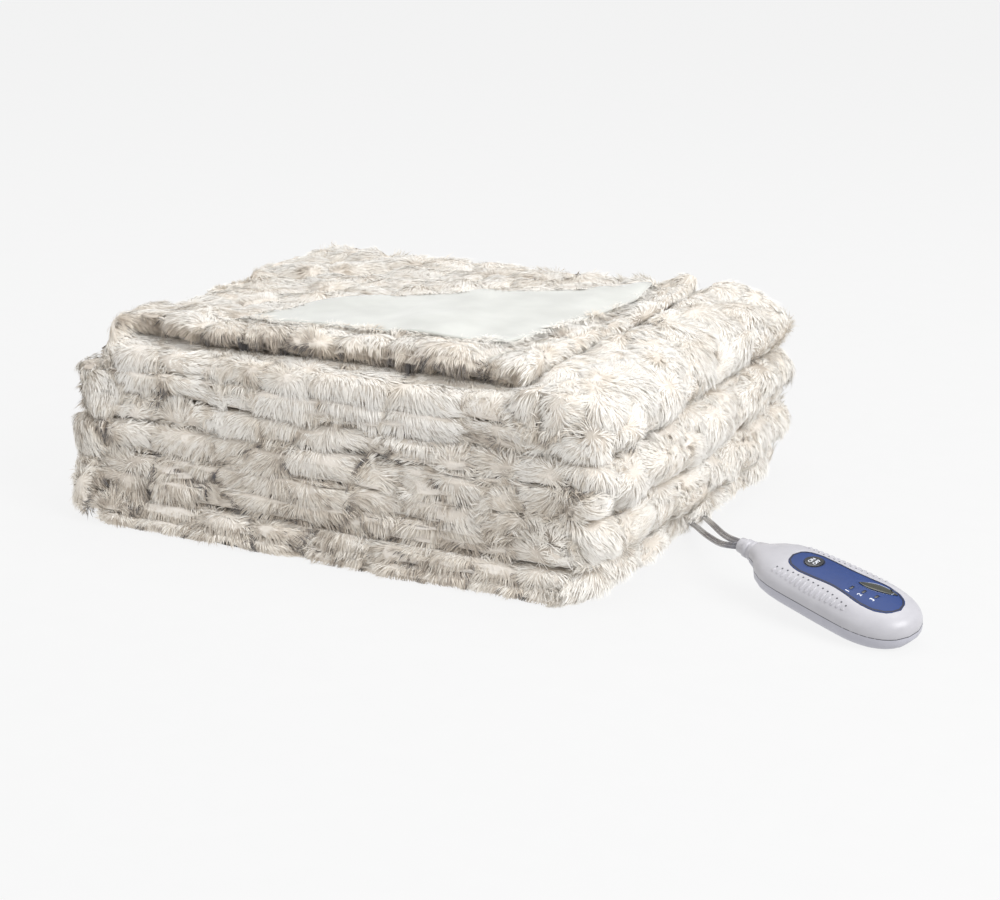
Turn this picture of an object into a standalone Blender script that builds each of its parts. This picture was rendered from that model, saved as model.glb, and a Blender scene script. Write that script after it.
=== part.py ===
"""Electric heated throw: ruched faux fur folded into a stack, its plush lining where the top
flap is turned back, and the hand controller on its two flat leads.

Metres, +Z up. The stack's front is -Y, its bulged folds are at +X, and the controller lies off
its right-hand front corner. The origin is the middle of the flat underside.
"""
import math

import bmesh
import bpy
from mathutils import Matrix, Vector

MM = 0.001
GAP = 0.3 * MM                       # running gap between touching pieces

# ---- the folded stack ----------------------------------------------------------------------
STACK_WIDTH = 0.476                  # X, from the left folds to the right folds
STACK_DEPTH = 0.388                  # Y, from the front edges to the back edges
CORNER_ROUNDS = (18 * MM, 11 * MM)   # how far the front and back upright corners draw in
CORNER_REACH = 34 * MM               # how far along the side that rounding starts
LEFT_SWELL = 15 * MM                 # how far the top of the left side swells out
LEFT_SWELL_PLACE = (0.055, 0.085)    # Y of its middle and its spread
LEFT_SWELL_HEIGHTS = (0.112, 0.024)  # height where it starts and over what height it grows
PLY_STEPS = 6                        # cells across a hidden layer
TOP_STEPS = 23                       # cells across the top flap, which shows
HUMP_STEPS = 8                       # cells across the layer under it where that shows
RIGHT_BEND_STEPS = 7                 # cells round a fold on the right
LEFT_BEND_STEPS = 5                  # cells round a fold on the left
MIDDLE_STATIONS = 9                  # stations between the rounded front and back edges
FRONT_STATIONS = (0.0, 2.5, 7.0, 14.0, 26.0, 42.0)  # mm in from an edge, to follow its rounding
BACK_STATIONS = (0.0, 2.5, 8.0, 17.0)

# One row for each layer, from the floor up, in mm. Even layers run to the right, odd ones back.
# "gap_over" is the air over the layer. "left" and "right" draw its ends in from the stack's
# sides, "front" and "back" set its long edges in, and "round_low" and "round_high" round the
# lower and upper side of those edges.
LAYER_COLUMNS = ("thick", "gap_over", "left", "right", "front", "back", "round_low",
                 "round_high")
LAYERS = (
    (11.0, 1.2, 32, 4, -13, 18, 4.0, 1.5),
    (11.5, 2.6, 1, 4, -11, 17, 1.5, 5.5),
    (16.5, 1.4, -2, -9, -4, 4, 6.5, 1.5),
    (16.0, 2.0, -1, -9, -2, 2, 1.5, 2.0),
    (21.5, 2.6, -1, -10, -1, 1, 2.0, 7.0),
    (17.5, 2.6, 12, -10, 2, 3, 7.0, 6.0),
    (18.5, 1.4, 14, -4, 3, 8, 6.5, 2.0),
    (17.5, 2.0, 28, -4, 5, 18, 2.0, 9.0),
    (12.5, 0.0, 40, 0, 38, 31, 4.0, 6.0),
)
FLAP_END = 0.163                     # X of the top flap's free end, beside the right-hand hump
FLAP_FADE = 0.070                    # how far in from that end its waviness reaches

# Swells of the fur that show from a step away: wave lengths in metres, heights in mm.
PUFF_COLUMNS = ("length_along", "length_up", "phase_along", "phase_up", "height")
SIDE_PUFFS = (
    (0.110, 0.092, 0.4, 1.1, 3.2),
    (0.071, 0.055, 2.1, 0.3, 1.9),
)
FRONT_PUFFS = (
    (0.165, 0.080, 1.2, 0.5, 3.0),
    (0.120, 0.047, 0.2, 2.3, 1.6),
)
TOP_PUFFS = (
    (0.118, 0.105, 0.9, 0.2, 2.0),
    (0.074, 0.081, 2.6, 1.4, 1.1),
)

# ---- the turned-back flap on top -----------------------------------------------------------
# The lining's three corners in plan, as they show, and how far its recess runs past them.
LINING_CORNERS = ((-0.114, -0.113), (0.117, -0.102), (0.136, 0.128))
# How far its two longer edges bow out, in mm, by the share of the way to the far corner.
LINING_BOW_COLUMNS = ("along", "back", "right")
LINING_BOWS = (
    (0.0, 0.0, 0.0),
    (0.15, 26.0, 4.0),
    (0.30, 32.0, 8.0),
    (0.52, 22.0, 12.0),
    (0.72, 7.0, 13.0),
    (0.88, -4.0, 7.0),
    (1.0, 0.0, 0.0),
)
LINING_THICK = 2.0 * MM
LINING_SEAT = 1.0 * MM               # clearance under the lining
LINING_CELLS = 12
RECESS_MARGIN = 9 * MM               # level floor past the lining's edge
RECESS_SLOPE = 24 * MM               # width of the slope up to the fur
RECESS_LEVEL = -3.0                  # mm, the floor against the top layer's plain height
# Heights of the fur round the recess, in mm over the flap's plain height.
ROLL_HEIGHT = 8.5
ROLL_WIDTH = 0.060
FLAP_SIDE_HEIGHT = 3.0
BACK_FUR_HEIGHT = -2.5
PEAK_PLACE = (0.166, 0.172)
PEAK_HEIGHT = 7.0
PEAK_RADIUS = 0.030
# The hump of the layer under the flap, past the flap's end: it is the fold that shows there.
HUMP_HEIGHT = 13.0                   # mm over that layer's plain height
HUMP_START = 4 * MM                  # how far under the flap it starts
HUMP_SLOPE = 20 * MM
HUMP_FALL = (0.185, 0.045, 0.60)     # X where it falls off again, over what length, what share
NOTCH_PLACE = 0.124                  # X where the back edges of the top two layers are set in
NOTCH_WIDTH = 0.036
NOTCH_DEPTHS = {7: 8.0, 8: 14.0}     # mm, by layer

# ---- the hand controller, in its own frame: X from neck to tail, Z out of its face ---------
HANDSET_LENGTH = 0.143
HANDSET_NECK = (0.3267, -0.1203)     # where the neck's end is, in plan
HANDSET_HEADING = -20.0              # degrees, in plan
HANDSET_PITCH = 8.5                  # degrees, tail down: the stiff leads hold its neck up
HANDSET_ROLL = 10.0                  # degrees, face towards the front
HANDSET_FLOOR = 0.15 * MM            # height of its lowest point
SHELL_COLUMNS = ("x", "half_width", "top", "bottom")
SHELL_PROFILE = (                    # mm
    (0, 8.2, 7.8, 6.6),
    (3.5, 8.6, 8.0, 7.0),
    (8, 12.2, 9.0, 8.8),
    (13.5, 18.2, 10.6, 10.6),
    (22, 23.4, 12.6, 12.2),
    (39, 26.8, 14.6, 13.4),
    (63, 27.8, 15.8, 14.0),
    (85, 28.6, 16.4, 14.3),
    (103, 29.0, 16.2, 14.2),
    (119, 27.0, 15.0, 13.4),
    (131, 22.0, 13.0, 11.6),
    (139, 14.6, 10.0, 9.0),
    (143, 5.0, 5.0, 4.6),
)
SHELL_STATIONS = 22
SHELL_AROUND = 16
CROWN_POWER = 2.4                    # roundness of the upper shell's section
BELLY_POWER = 3.6                    # the lower shell is squarer

INLAY_START = 0.034
INLAY_END = 0.1305
INLAY_THICK = 1.4 * MM
INLAY_PROUD = 0.25 * MM
INLAY_COLUMNS = ("x", "half_width")
INLAY_PROFILE = (                    # mm, a peanut outline
    (34, 0.0),
    (36, 6.8),
    (41, 11.2),
    (51, 13.6),
    (63, 13.4),
    (79, 12.6),
    (93, 13.8),
    (107, 15.6),
    (117, 14.6),
    (125.5, 10.4),
    (129, 5.8),
    (130.5, 0.0),
)

INLAY_CELLS = (22, 6)
BUTTON_CELLS = (12, 5)

POWER_PLACE = (0.0522, 0.0018)
POWER_RADIUS = 6.8 * MM
HEAT_PLACE = (0.1055, 0.0066)
HEAT_SIZE = (0.0270, 0.0080)
HEAT_TURN = 17.0                     # degrees, against the controller's length
BUTTON_DEPTH = 3.0 * MM              # how far a button reaches under the face
BUTTON_PROUD = 0.7 * MM
BUTTON_TRAVEL = 0.9 * MM
INDICATOR_SIZE = (0.0018, 0.0036)
INDICATOR_THICK = 1.2 * MM
INDICATOR_PLACES = ((0.0922, -0.0058), (0.1014, -0.0038), (0.1110, -0.0020))

COLLAR_COLUMNS = ("along", "radius")
COLLAR_PROFILE = (                   # mm out from the neck
    (0.0, 7.4),
    (3.2, 7.4),
    (3.9, 6.2),
    (5.2, 6.2),
    (5.9, 7.0),
    (8.6, 7.0),
    (9.3, 6.0),
    (10.6, 6.0),
    (14.5, 5.7),
)
COLLAR_SIDES = 20

# ---- the leads -----------------------------------------------------------------------------
LEAD_WIDTH = 5.2 * MM                # each lead is a flat twin, this wide
LEAD_RADIUS = LEAD_WIDTH / 2
LEAD_PITCH = 5.6 * MM                # the two leads side by side in the collar
LEAD_REST = LEAD_RADIUS + 0.2 * MM   # height of a lead that lies on the surface
LEAD_STRAIGHT = 10 * MM              # how far a lead leaves the collar straight
LEAD_STEP = 14 * MM                  # spacing of the points along a lead
TUNNEL_SIDE = 0.8 * MM               # room round a lead where the throw lies over it
COIL_MIDDLE = 31 * MM                # radius at the middle of the turns
COIL_PITCH = 5.4 * MM
COIL_SIDES = 26

# Routes, from just outside the collar on, chosen by hand: x, y, height over the rest height.
MAINS_ROUTE = (
    (0.2888, -0.0969, 0.0257),
    (0.2653, -0.0633, 0.0177),
    (0.2399, -0.0222, 0.0082),
    (0.2214, 0.0047, 0.0017),
    (0.2050, 0.0260, 0.0000),
    (0.1850, 0.0440, 0.0000),
    (0.1560, 0.0620, 0.0000),
    (0.1160, 0.0840, 0.0000),
    (0.0765, 0.1160, 0.0000),
    (0.0485, 0.1520, 0.0000),
    (0.0365, 0.1900, 0.0000),
)
BLANKET_ROUTE = (
    (0.2871, -0.0825, 0.0272),
    (0.2625, -0.0421, 0.0187),
    (0.2407, -0.0035, 0.0092),
    (0.2254, 0.0240, 0.0016),
    (0.2120, 0.0490, 0.0000),
    (0.1940, 0.0800, 0.0000),
    (0.1690, 0.1120, 0.0000),
    (0.1460, 0.1480, 0.0000),
    (0.1355, 0.1900, 0.0000),
)
MAINS_COIL_PLACE = (-0.0015, 0.2405)
MAINS_COIL_GRID = (3, 3)             # turns across and turns high
MAINS_COIL_REACH = 2.1 * MM          # from the coil's rim to the middle of the lead's end
BLANKET_COIL_PLACE = (0.1030, 0.2380)
BLANKET_COIL_GRID = (2, 2)
BLANKET_COIL_REACH = 2.8 * MM
COIL_APPROACH = -35.0                # degrees round a coil where its lead comes in
BLANKET_END_HEIGHT = 0.0060          # where the blanket lead runs into the back edge

PLUG_BODY = (0.028, 0.0230, 0.0145)
PLUG_BEVEL = 2.4 * MM
BLADE_LENGTH = 0.017
BLADE_THICK = 1.5 * MM
BLADE_WIDTHS = (("plug_blade_wide", 7.9 * MM, -1), ("plug_blade_narrow", 6.35 * MM, 1))
BLADE_PITCH = 12.7 * MM
PLUG_CORD_LENGTH = 0.016


# ---- small helpers -------------------------------------------------------------------------
def table(columns, rows):
    """Rows of a table as dictionaries, one for each row."""
    return [dict(zip(columns, row)) for row in rows]


def smooth_step(value):
    value = min(1.0, max(0.0, value))
    return value * value * (3 - 2 * value)


def smooth_read(columns, rows, key, x):
    """Read one column of a table at x, on a smooth curve with no overshoot."""
    xs = [row[0] for row in rows]
    ys = [row[columns.index(key)] for row in rows]
    if x <= xs[0]:
        return ys[0]
    if x >= xs[-1]:
        return ys[-1]
    i = max(k for k in range(len(xs) - 1) if xs[k] <= x)
    slopes = [(ys[k + 1] - ys[k]) / (xs[k + 1] - xs[k]) for k in range(len(xs) - 1)]

    def tangent(k):
        if k == 0:
            return slopes[0]
        if k == len(xs) - 1:
            return slopes[-1]
        before, after = slopes[k - 1], slopes[k]
        return 0.0 if before * after <= 0 else 2 * before * after / (before + after)

    span = xs[i + 1] - xs[i]
    t = (x - xs[i]) / span
    start, end = tangent(i) * span, tangent(i + 1) * span
    return ((2 * t ** 3 - 3 * t ** 2 + 1) * ys[i] + (t ** 3 - 2 * t ** 2 + t) * start
            + (3 * t ** 2 - 2 * t ** 3) * ys[i + 1] + (t ** 3 - t ** 2) * end)


def smooth_path(points, step):
    """Points about step apart on a Catmull-Rom curve through the given ones."""
    points = [Vector(p) for p in points]
    padded = [2 * points[0] - points[1]] + points + [2 * points[-1] - points[-2]]
    fine = []
    for i in range(1, len(padded) - 2):
        a, b, c, d = padded[i - 1:i + 3]
        for k in range(24):
            t = k / 24
            fine.append(0.5 * ((2 * b) + (c - a) * t + (2 * a - 5 * b + 4 * c - d) * t * t
                               + (3 * b - a - 3 * c + d) * t ** 3))
    fine.append(points[-1])
    lengths = [0.0]
    for a, b in zip(fine, fine[1:]):
        lengths.append(lengths[-1] + (b - a).length)
    count = max(2, round(lengths[-1] / step))
    path = []
    k = 0
    for i in range(count + 1):
        target = lengths[-1] * i / count
        while k < len(lengths) - 2 and lengths[k + 1] < target:
            k += 1
        t = (target - lengths[k]) / (lengths[k + 1] - lengths[k])
        path.append(fine[k].lerp(fine[k + 1], t))
    return path


def clear_scene():
    for item in list(bpy.data.objects):
        bpy.data.objects.remove(item, do_unlink=True)


def collection(name):
    made = bpy.data.collections.new(name)
    bpy.context.scene.collection.children.link(made)
    return made


def linear(hex_colour):
    """An sRGB hex colour as linear RGBA."""
    channels = [int(hex_colour[i:i + 2], 16) / 255 for i in (0, 2, 4)]
    return [c / 12.92 if c <= 0.04045 else ((c + 0.055) / 1.055) ** 2.4 for c in channels] + [1.0]


def material(name, hex_colour, roughness, metallic=0.0):
    made = bpy.data.materials.new(name)
    made.use_nodes = True
    shader = made.node_tree.nodes["Principled BSDF"]
    shader.inputs["Base Color"].default_value = linear(hex_colour)
    shader.inputs["Roughness"].default_value = roughness
    shader.inputs["Metallic"].default_value = metallic
    return made


def mesh_object(name, verts, faces, where, finish=None, place=None):
    """A named object from points and faces, its faces turned outward."""
    mesh = bpy.data.meshes.new(name)
    mesh.from_pydata(verts, [], faces)
    bm = bmesh.new()
    bm.from_mesh(mesh)
    bmesh.ops.recalc_face_normals(bm, faces=bm.faces)
    bm.to_mesh(mesh)
    bm.free()
    made = bpy.data.objects.new(name, mesh)
    where.objects.link(made)
    if finish:
        mesh.materials.append(finish)
        mesh.shade_smooth()
        mesh.set_sharp_from_angle(angle=math.radians(40))
    else:
        made.hide_render = True
        made.display_type = "WIRE"
    if place:
        made.matrix_world = place
    return made


def cut(target, cutter):
    modifier = target.modifiers.new("cut_" + cutter.name, "BOOLEAN")
    modifier.operation = "DIFFERENCE"
    modifier.solver = "EXACT"
    modifier.object = cutter


# ---- the folded throw ----------------------------------------------------------------------
def puffs(rows, along, up):
    """Height in metres of the fur's swells at a place on one side of the stack."""
    total = 0.0
    for row in table(PUFF_COLUMNS, rows):
        a = math.sin(2 * math.pi * along / row["length_along"] + row["phase_along"])
        b = math.sin(2 * math.pi * up / row["length_up"] + row["phase_up"])
        total += row["height"] * MM * a * b
    return total


def layer_heights():
    """Bottom and top height of each layer, in metres."""
    heights = []
    low = 0.0
    for layer in table(LAYER_COLUMNS, LAYERS):
        high = low + layer["thick"] * MM
        heights.append((low, high))
        low = high + layer["gap_over"] * MM
    return heights


def lining_place(i, j):
    """A place on the lining in plan: row i from its far corner, j along the row to the right."""
    a, b, c = (Vector(corner) for corner in LINING_CORNERS)
    u, v = 1 - i / LINING_CELLS, j / LINING_CELLS
    w = 1 - u - v
    back = smooth_read(LINING_BOW_COLUMNS, LINING_BOWS, "back", u / (u + w) if j < LINING_CELLS else 0)
    right = smooth_read(LINING_BOW_COLUMNS, LINING_BOWS, "right", u / (u + v) if u + v > 0 else 0)
    place = c * u + b * v + a * w
    for start, end, bow, share in ((a, c, back, 1 - v), (c, b, right, 1 - w)):
        along = (end - start).normalized()
        place += Vector((-along.y, along.x)) * bow * share * MM
    return place


def lining_rim():
    """The lining's edge as rows and places, once round."""
    rim = [(i, 0) for i in range(LINING_CELLS)]
    rim += [(LINING_CELLS, j) for j in range(LINING_CELLS)]
    return rim + [(i, i) for i in range(LINING_CELLS, 0, -1)]


def distance_to_recess(x, y):
    """How far a place in plan lies outside the level floor of the lining's recess."""
    place = Vector((x, y))
    rim = [lining_place(i, j) for i, j in lining_rim()]
    nearest, inside = math.inf, False
    for start, end in zip(rim, rim[1:] + rim[:1]):
        along = end - start
        share = min(1.0, max(0.0, (place - start).dot(along) / along.length_squared))
        nearest = min(nearest, (place - start - along * share).length)
        if (start.y > y) != (end.y > y) and x < start.x + (y - start.y) / along.y * along.x:
            inside = not inside
    return (-nearest if inside else nearest) - RECESS_MARGIN


def bump(x, y, place, radius):
    return math.exp(-((x - place[0]) ** 2 + (y - place[1]) ** 2) / radius ** 2)


def flap_front(x):
    """The top flap's front setback in mm: its edge is turned back in an uneven roll."""
    wave = 3.5 * math.sin(2 * math.pi * x / 0.21 + 0.8) + 2.0 * math.sin(2 * math.pi * x / 0.093)
    return table(LAYER_COLUMNS, LAYERS)[-1]["front"] + wave


def flap_end_shift(x, y):
    """How far the flap's free end wanders in X, fading out away from it."""
    wave = 3.5 * MM * math.sin(y / 0.048 + 1.0) - 3.0 * MM * y / STACK_DEPTH
    return wave * smooth_step((x - FLAP_END + FLAP_FADE) / FLAP_FADE)


def notch(k, x):
    """How far the back edge of one of the top layers is set in at x, in mm."""
    return NOTCH_DEPTHS.get(k, 0.0) * math.exp(-((x - NOTCH_PLACE) / NOTCH_WIDTH) ** 2)


def flap_rise(x, y):
    """Height of the flap's upper side over its plain height, in metres."""
    roll_place = -STACK_DEPTH / 2 + flap_front(x) * MM + ROLL_WIDTH * 0.45
    roll = ROLL_HEIGHT * math.exp(-((y - roll_place) / (ROLL_WIDTH * 0.5)) ** 2)
    roll *= 0.45 + 0.55 * smooth_step((x + STACK_WIDTH / 2) / 0.09)
    side = FLAP_SIDE_HEIGHT * smooth_step((x - LINING_CORNERS[1][0]) / 0.03)
    back = BACK_FUR_HEIGHT * smooth_step((y - (x + 0.02)) / 0.05)
    fur = max(roll, side) + back + puffs(TOP_PUFFS, x, y) / MM
    fur += PEAK_HEIGHT * bump(x, y, PEAK_PLACE, PEAK_RADIUS)
    share = smooth_step(distance_to_recess(x, y) / RECESS_SLOPE)
    return (RECESS_LEVEL * (1 - share) + fur * share) * MM


def hump_rise(x, y):
    """Height of the hump past the flap's end over its layer's plain height, in metres."""
    start = FLAP_END + flap_end_shift(FLAP_END, y) - HUMP_START
    share = smooth_step((x - start) / HUMP_SLOPE)
    fall_place, fall_length, fall_share = HUMP_FALL
    height = HUMP_HEIGHT * (1 - fall_share * smooth_step((x - fall_place) / fall_length))
    height += puffs(TOP_PUFFS, x, y) / MM + 0.6 * PEAK_HEIGHT * bump(x, y, PEAK_PLACE, PEAK_RADIUS)
    return share * height * MM


def section():
    """The back-and-forth section in X and Z: for each sample the two sides of the cloth.

    Side "p" starts under the lowest layer, so it is the outer side of every right-hand fold and
    the upper side of the odd layers. Side "q" is the other one.
    """
    layers = table(LAYER_COLUMNS, LAYERS)
    heights = layer_heights()
    half = STACK_WIDTH / 2
    last = len(layers) - 1
    edge = [d * MM for d in BACK_STATIONS]
    samples = []

    def outer_radius(k, t):
        """Outer radius of the fold from layer k to the next, at a share of the way round."""
        thick = layers[k]["thick"] * (1 - t) + layers[k + 1]["thick"] * t
        return (layers[k]["gap_over"] / 2 + thick) * MM

    def bend_centre(k, side):
        inset = 0.5 * (layers[k][side] + layers[k + 1][side]) * MM
        return half - inset - outer_radius(k, 0.5)

    def places(k, left, right):
        """X of a layer's samples: close together along a free end and where it shows."""
        if k == 0:
            even = [left + (right - left) * i / PLY_STEPS for i in range(PLY_STEPS + 1)]
            return [left + d for d in edge] + [x for x in even if x > left + edge[-1] + edge[2]]
        if k == last:
            even = [left + (right - left) * i / TOP_STEPS for i in range(TOP_STEPS + 1)]
            near = [right - d for d in reversed(edge)]
            return [x for x in even if x < near[0] - edge[2]] + near
        if k == last - 1:
            turn = FLAP_END - 2 * HUMP_START
            coarse = [left + (turn - left) * i / (PLY_STEPS - 2) for i in range(PLY_STEPS - 2)]
            return coarse + [turn + (right - turn) * i / HUMP_STEPS
                             for i in range(HUMP_STEPS + 1)]
        return [left + (right - left) * i / PLY_STEPS for i in range(PLY_STEPS + 1)]

    for k, layer in enumerate(layers):
        low, high = heights[k]
        odd = k % 2 == 1
        if k == 0:
            left = -half + layer["left"] * MM
        else:
            left = -bend_centre(k if odd else k - 1, "left")
        right = FLAP_END if k == last else bend_centre(k - 1 if odd else k, "right")
        xs = places(k, left, right)
        for x in (reversed(xs) if odd else xs):
            inward = {0: x - left, last: right - x}.get(k)
            p, q = ((x, high), (x, low)) if odd else ((x, low), (x, high))
            samples.append({"p": p, "q": q, "k": k, "l": k, "t": 0.0, "kind": "layer",
                            "inward": inward})
        if k == last:
            break
        # the fold to the next layer: round the gap's middle, the outer side's radius follows
        # the thickness of the two layers
        side = "left" if odd else "right"
        steps = LEFT_BEND_STEPS if odd else RIGHT_BEND_STEPS
        sign = -1 if odd else 1
        centre = bend_centre(k, side) * sign
        within = layer["gap_over"] * MM / 2
        mid = high + within
        for i in range(1, steps):
            t = i / steps
            angle = math.pi * (t - 0.5)
            radius = outer_radius(k, t)
            away = (sign * math.cos(angle), math.sin(angle))
            outer = (centre + away[0] * radius, mid + away[1] * radius)
            inner = (centre + away[0] * within, mid + away[1] * within)
            p, q = (inner, outer) if odd else (outer, inner)
            samples.append({"p": p, "q": q, "k": k, "l": k + 1, "t": t, "kind": side,
                            "inward": None})
    return samples


def stations():
    """Distances from the front edge as (from the front, share of the depth, from the back)."""
    rows = [(d * MM, None, None) for d in FRONT_STATIONS]
    rows += [(None, (i + 1) / (MIDDLE_STATIONS + 1), None) for i in range(MIDDLE_STATIONS)]
    rows += [(None, None, d * MM) for d in reversed(BACK_STATIONS)]
    return rows


def edge_rounding(distance, across, radius):
    """How far one side of a layer draws in near its edge, for an edge rounded by radius."""
    if radius <= 0:
        return 0.0
    a = max(0.0, 1 - distance / radius)
    b = 0.0 if across is None else max(0.0, 1 - across / radius)
    return radius * (1 - math.sqrt(max(0.0, 1 - min(1.0, a * a + b * b))))


def stack_warp(point):
    """The stack's own unevenness: its upright corners draw in, and its sides lean and swell."""
    x, y, z = point
    from_end = STACK_DEPTH / 2 - abs(y)
    a = max(0.0, 1 - max(0.0, from_end) / CORNER_REACH)
    draw = CORNER_ROUNDS[y > 0] * (1 - math.sqrt(1 - min(1.0, a * a)))
    x *= 1 - draw / (STACK_WIDTH / 2)
    level = z / 0.15
    share = x / (STACK_WIDTH / 2)
    x += share * abs(share) * (4 * MM * math.sin(y / 0.062 + 5 * level) * min(1.0, 4 * level))
    middle, spread = LEFT_SWELL_PLACE
    start, growth = LEFT_SWELL_HEIGHTS
    swell = math.exp(-((y - middle) / spread) ** 2) * smooth_step((z - start) / growth)
    x -= LEFT_SWELL * swell * max(0.0, -share) ** 2
    z *= 1 + 0.020 * math.sin(x / 0.085 + 0.5) * math.cos(y / 0.11)
    return Vector((x, y, max(0.0, z)))


def build_throw(where, finish):
    layers = table(LAYER_COLUMNS, LAYERS)
    rows = stations()
    last = len(layers) - 1
    sides = {"p": [], "q": []}
    for sample in section():
        k, l, t = sample["k"], sample["l"], sample["t"]

        p, q = Vector(sample["p"]), Vector(sample["q"])
        toward = (q - p).normalized()
        odd = k % 2 == 1
        if sample["kind"] == "layer":
            round_p = layers[k]["round_high" if odd else "round_low"]
            round_q = layers[k]["round_low" if odd else "round_high"]
        elif sample["kind"] == "right":
            round_p = layers[k]["round_low"] * (1 - t) + layers[l]["round_high"] * t
            round_q = layers[k]["round_high"] * (1 - t) + layers[l]["round_low"] * t
        else:
            round_p = layers[k]["round_high"] * (1 - t) + layers[l]["round_low"] * t
            round_q = layers[k]["round_low"] * (1 - t) + layers[l]["round_high"] * t
        mid = (p + q) / 2
        fronts = {last: flap_front(mid.x)}
        front = fronts.get(k, layers[k]["front"]) * (1 - t)
        front += fronts.get(l, layers[l]["front"]) * t
        back = (layers[k]["back"] + notch(k, mid.x)) * (1 - t)
        back += (layers[l]["back"] + notch(l, mid.x)) * t
        front_edge = -STACK_DEPTH / 2 + front * MM + puffs(FRONT_PUFFS, mid.x, mid.y)
        back_edge = STACK_DEPTH / 2 - back * MM - puffs(FRONT_PUFFS, mid.x + 0.2, mid.y)
        first = front_edge + FRONT_STATIONS[-1] * MM
        end = back_edge - BACK_STATIONS[-1] * MM
        p_row, q_row = [], []
        for from_front, share, from_back in rows:
            if from_front is not None:
                y = front_edge + from_front
                edge = from_front
            elif from_back is not None:
                y = back_edge - from_back
                edge = from_back
            else:
                y = first + (end - first) * share
                edge = min(y - front_edge, back_edge - y)
            p_in = edge_rounding(edge, sample["inward"], round_p * MM)
            q_in = edge_rounding(edge, sample["inward"], round_q * MM)
            p_at = p + toward * p_in
            q_at = q - toward * q_in
            if sample["kind"] == "right":
                p_at -= toward * puffs(SIDE_PUFFS, y, mid.y) * math.sin(math.pi * t)
            if sample["kind"] == "left":
                q_at += toward * puffs(SIDE_PUFFS, y + 0.1, mid.y) * math.sin(math.pi * t)
            if k == last:
                q_at.y += flap_rise(q.x, y)
                shift = flap_end_shift(mid.x, y)
                p_at.x += shift
                q_at.x += shift
            elif l == last:
                q_at.y += flap_rise(q.x, y) * smooth_step(2 * t - 1)
            elif k == last - 1:
                p_at.y += hump_rise(p.x, y)
            elif l == last - 1 and sample["kind"] == "right":
                p_at.y += hump_rise(p.x, y) * smooth_step(2 * t - 1)
            p_row.append(stack_warp((p_at.x, y, p_at.y)))
            q_row.append(stack_warp((q_at.x, y, q_at.y)))
        sides["p"].append(p_row)
        sides["q"].append(q_row)

    count, width = len(sides["p"]), len(rows)
    verts = [v for side in ("p", "q") for row in sides[side] for v in row]

    def p_at(i, j):
        return i * width + j

    def q_at(i, j):
        return count * width + i * width + j

    faces = []
    for i in range(count - 1):
        for j in range(width - 1):
            faces.append((p_at(i, j), p_at(i + 1, j), p_at(i + 1, j + 1), p_at(i, j + 1)))
            faces.append((q_at(i, j), q_at(i, j + 1), q_at(i + 1, j + 1), q_at(i + 1, j)))
        for j in (0, width - 1):
            faces.append((p_at(i, j), q_at(i, j), q_at(i + 1, j), p_at(i + 1, j)))
    for i in (0, count - 1):
        for j in range(width - 1):
            faces.append((p_at(i, j), p_at(i, j + 1), q_at(i, j + 1), q_at(i, j)))
    return mesh_object("fur_throw", verts, faces, where, finish)


def lining_height(x, y):
    """Height of the recess floor under the lining, after the stack's own warp."""
    plain = layer_heights()[-1][1]
    return stack_warp((x, y, plain + RECESS_LEVEL * MM)).z


def build_lining(where, finish):
    """A thin three-cornered sheet, its longer edges bowed, on the floor of the flap's recess."""
    verts, faces, index = [], [], {}
    for side, rise in (("low", LINING_SEAT), ("high", LINING_SEAT + LINING_THICK)):
        for i in range(LINING_CELLS + 1):
            for j in range(i + 1):
                place = lining_place(i, j)
                index[side, i, j] = len(verts)
                verts.append((place.x, place.y, lining_height(place.x, place.y) + rise))
    for side in ("low", "high"):
        for i in range(LINING_CELLS):
            for j in range(i + 1):
                faces.append((index[side, i, j], index[side, i + 1, j], index[side, i + 1, j + 1]))
                if j < i:
                    faces.append((index[side, i, j], index[side, i + 1, j + 1],
                                  index[side, i, j + 1]))
    rim = lining_rim()
    for start, end in zip(rim, rim[1:] + rim[:1]):
        faces.append((index[("low",) + start], index[("low",) + end],
                      index[("high",) + end], index[("high",) + start]))
    return mesh_object("plush_lining", verts, faces, where, finish)


# ---- the hand controller -------------------------------------------------------------------
def shell_read(key, x):
    return smooth_read(SHELL_COLUMNS, SHELL_PROFILE, key, x / MM) * MM


def face_height(x, y):
    """Height of the upper shell's outside over the parting plane."""
    share = min(0.999, abs(y) / shell_read("half_width", x))
    return shell_read("top", x) * (1 - share ** CROWN_POWER) ** (1 / CROWN_POWER)


def shell_half(name, where, finish, place, key, power, side):
    """One moulded half: rounded sections from neck to tail over a flat parting face."""
    verts, faces = [], []
    width = SHELL_AROUND + 1
    lift = side * GAP / 2
    for i in range(SHELL_STATIONS + 1):
        x = HANDSET_LENGTH * math.sin(math.pi / 2 * i / SHELL_STATIONS) ** 1.15
        half, rise = shell_read("half_width", x), shell_read(key, x)
        for j in range(width):
            angle = math.pi * j / SHELL_AROUND
            across = math.copysign(abs(math.cos(angle)) ** (2 / power), math.cos(angle))
            up = max(0.0, math.sin(angle)) ** (2 / power)
            verts.append((x, half * across, lift + side * rise * up))
    for i in range(SHELL_STATIONS):
        for j in range(SHELL_AROUND):
            a = i * width + j
            faces.append((a, a + 1, a + width + 1, a + width))
        faces.append((i * width, (i + 1) * width, (i + 2) * width - 1, (i + 1) * width - 1))
    faces.append(tuple(range(width)))
    faces.append(tuple(SHELL_STATIONS * width + j for j in range(width)))
    return mesh_object(name, verts, faces, where, finish, place)


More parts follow.
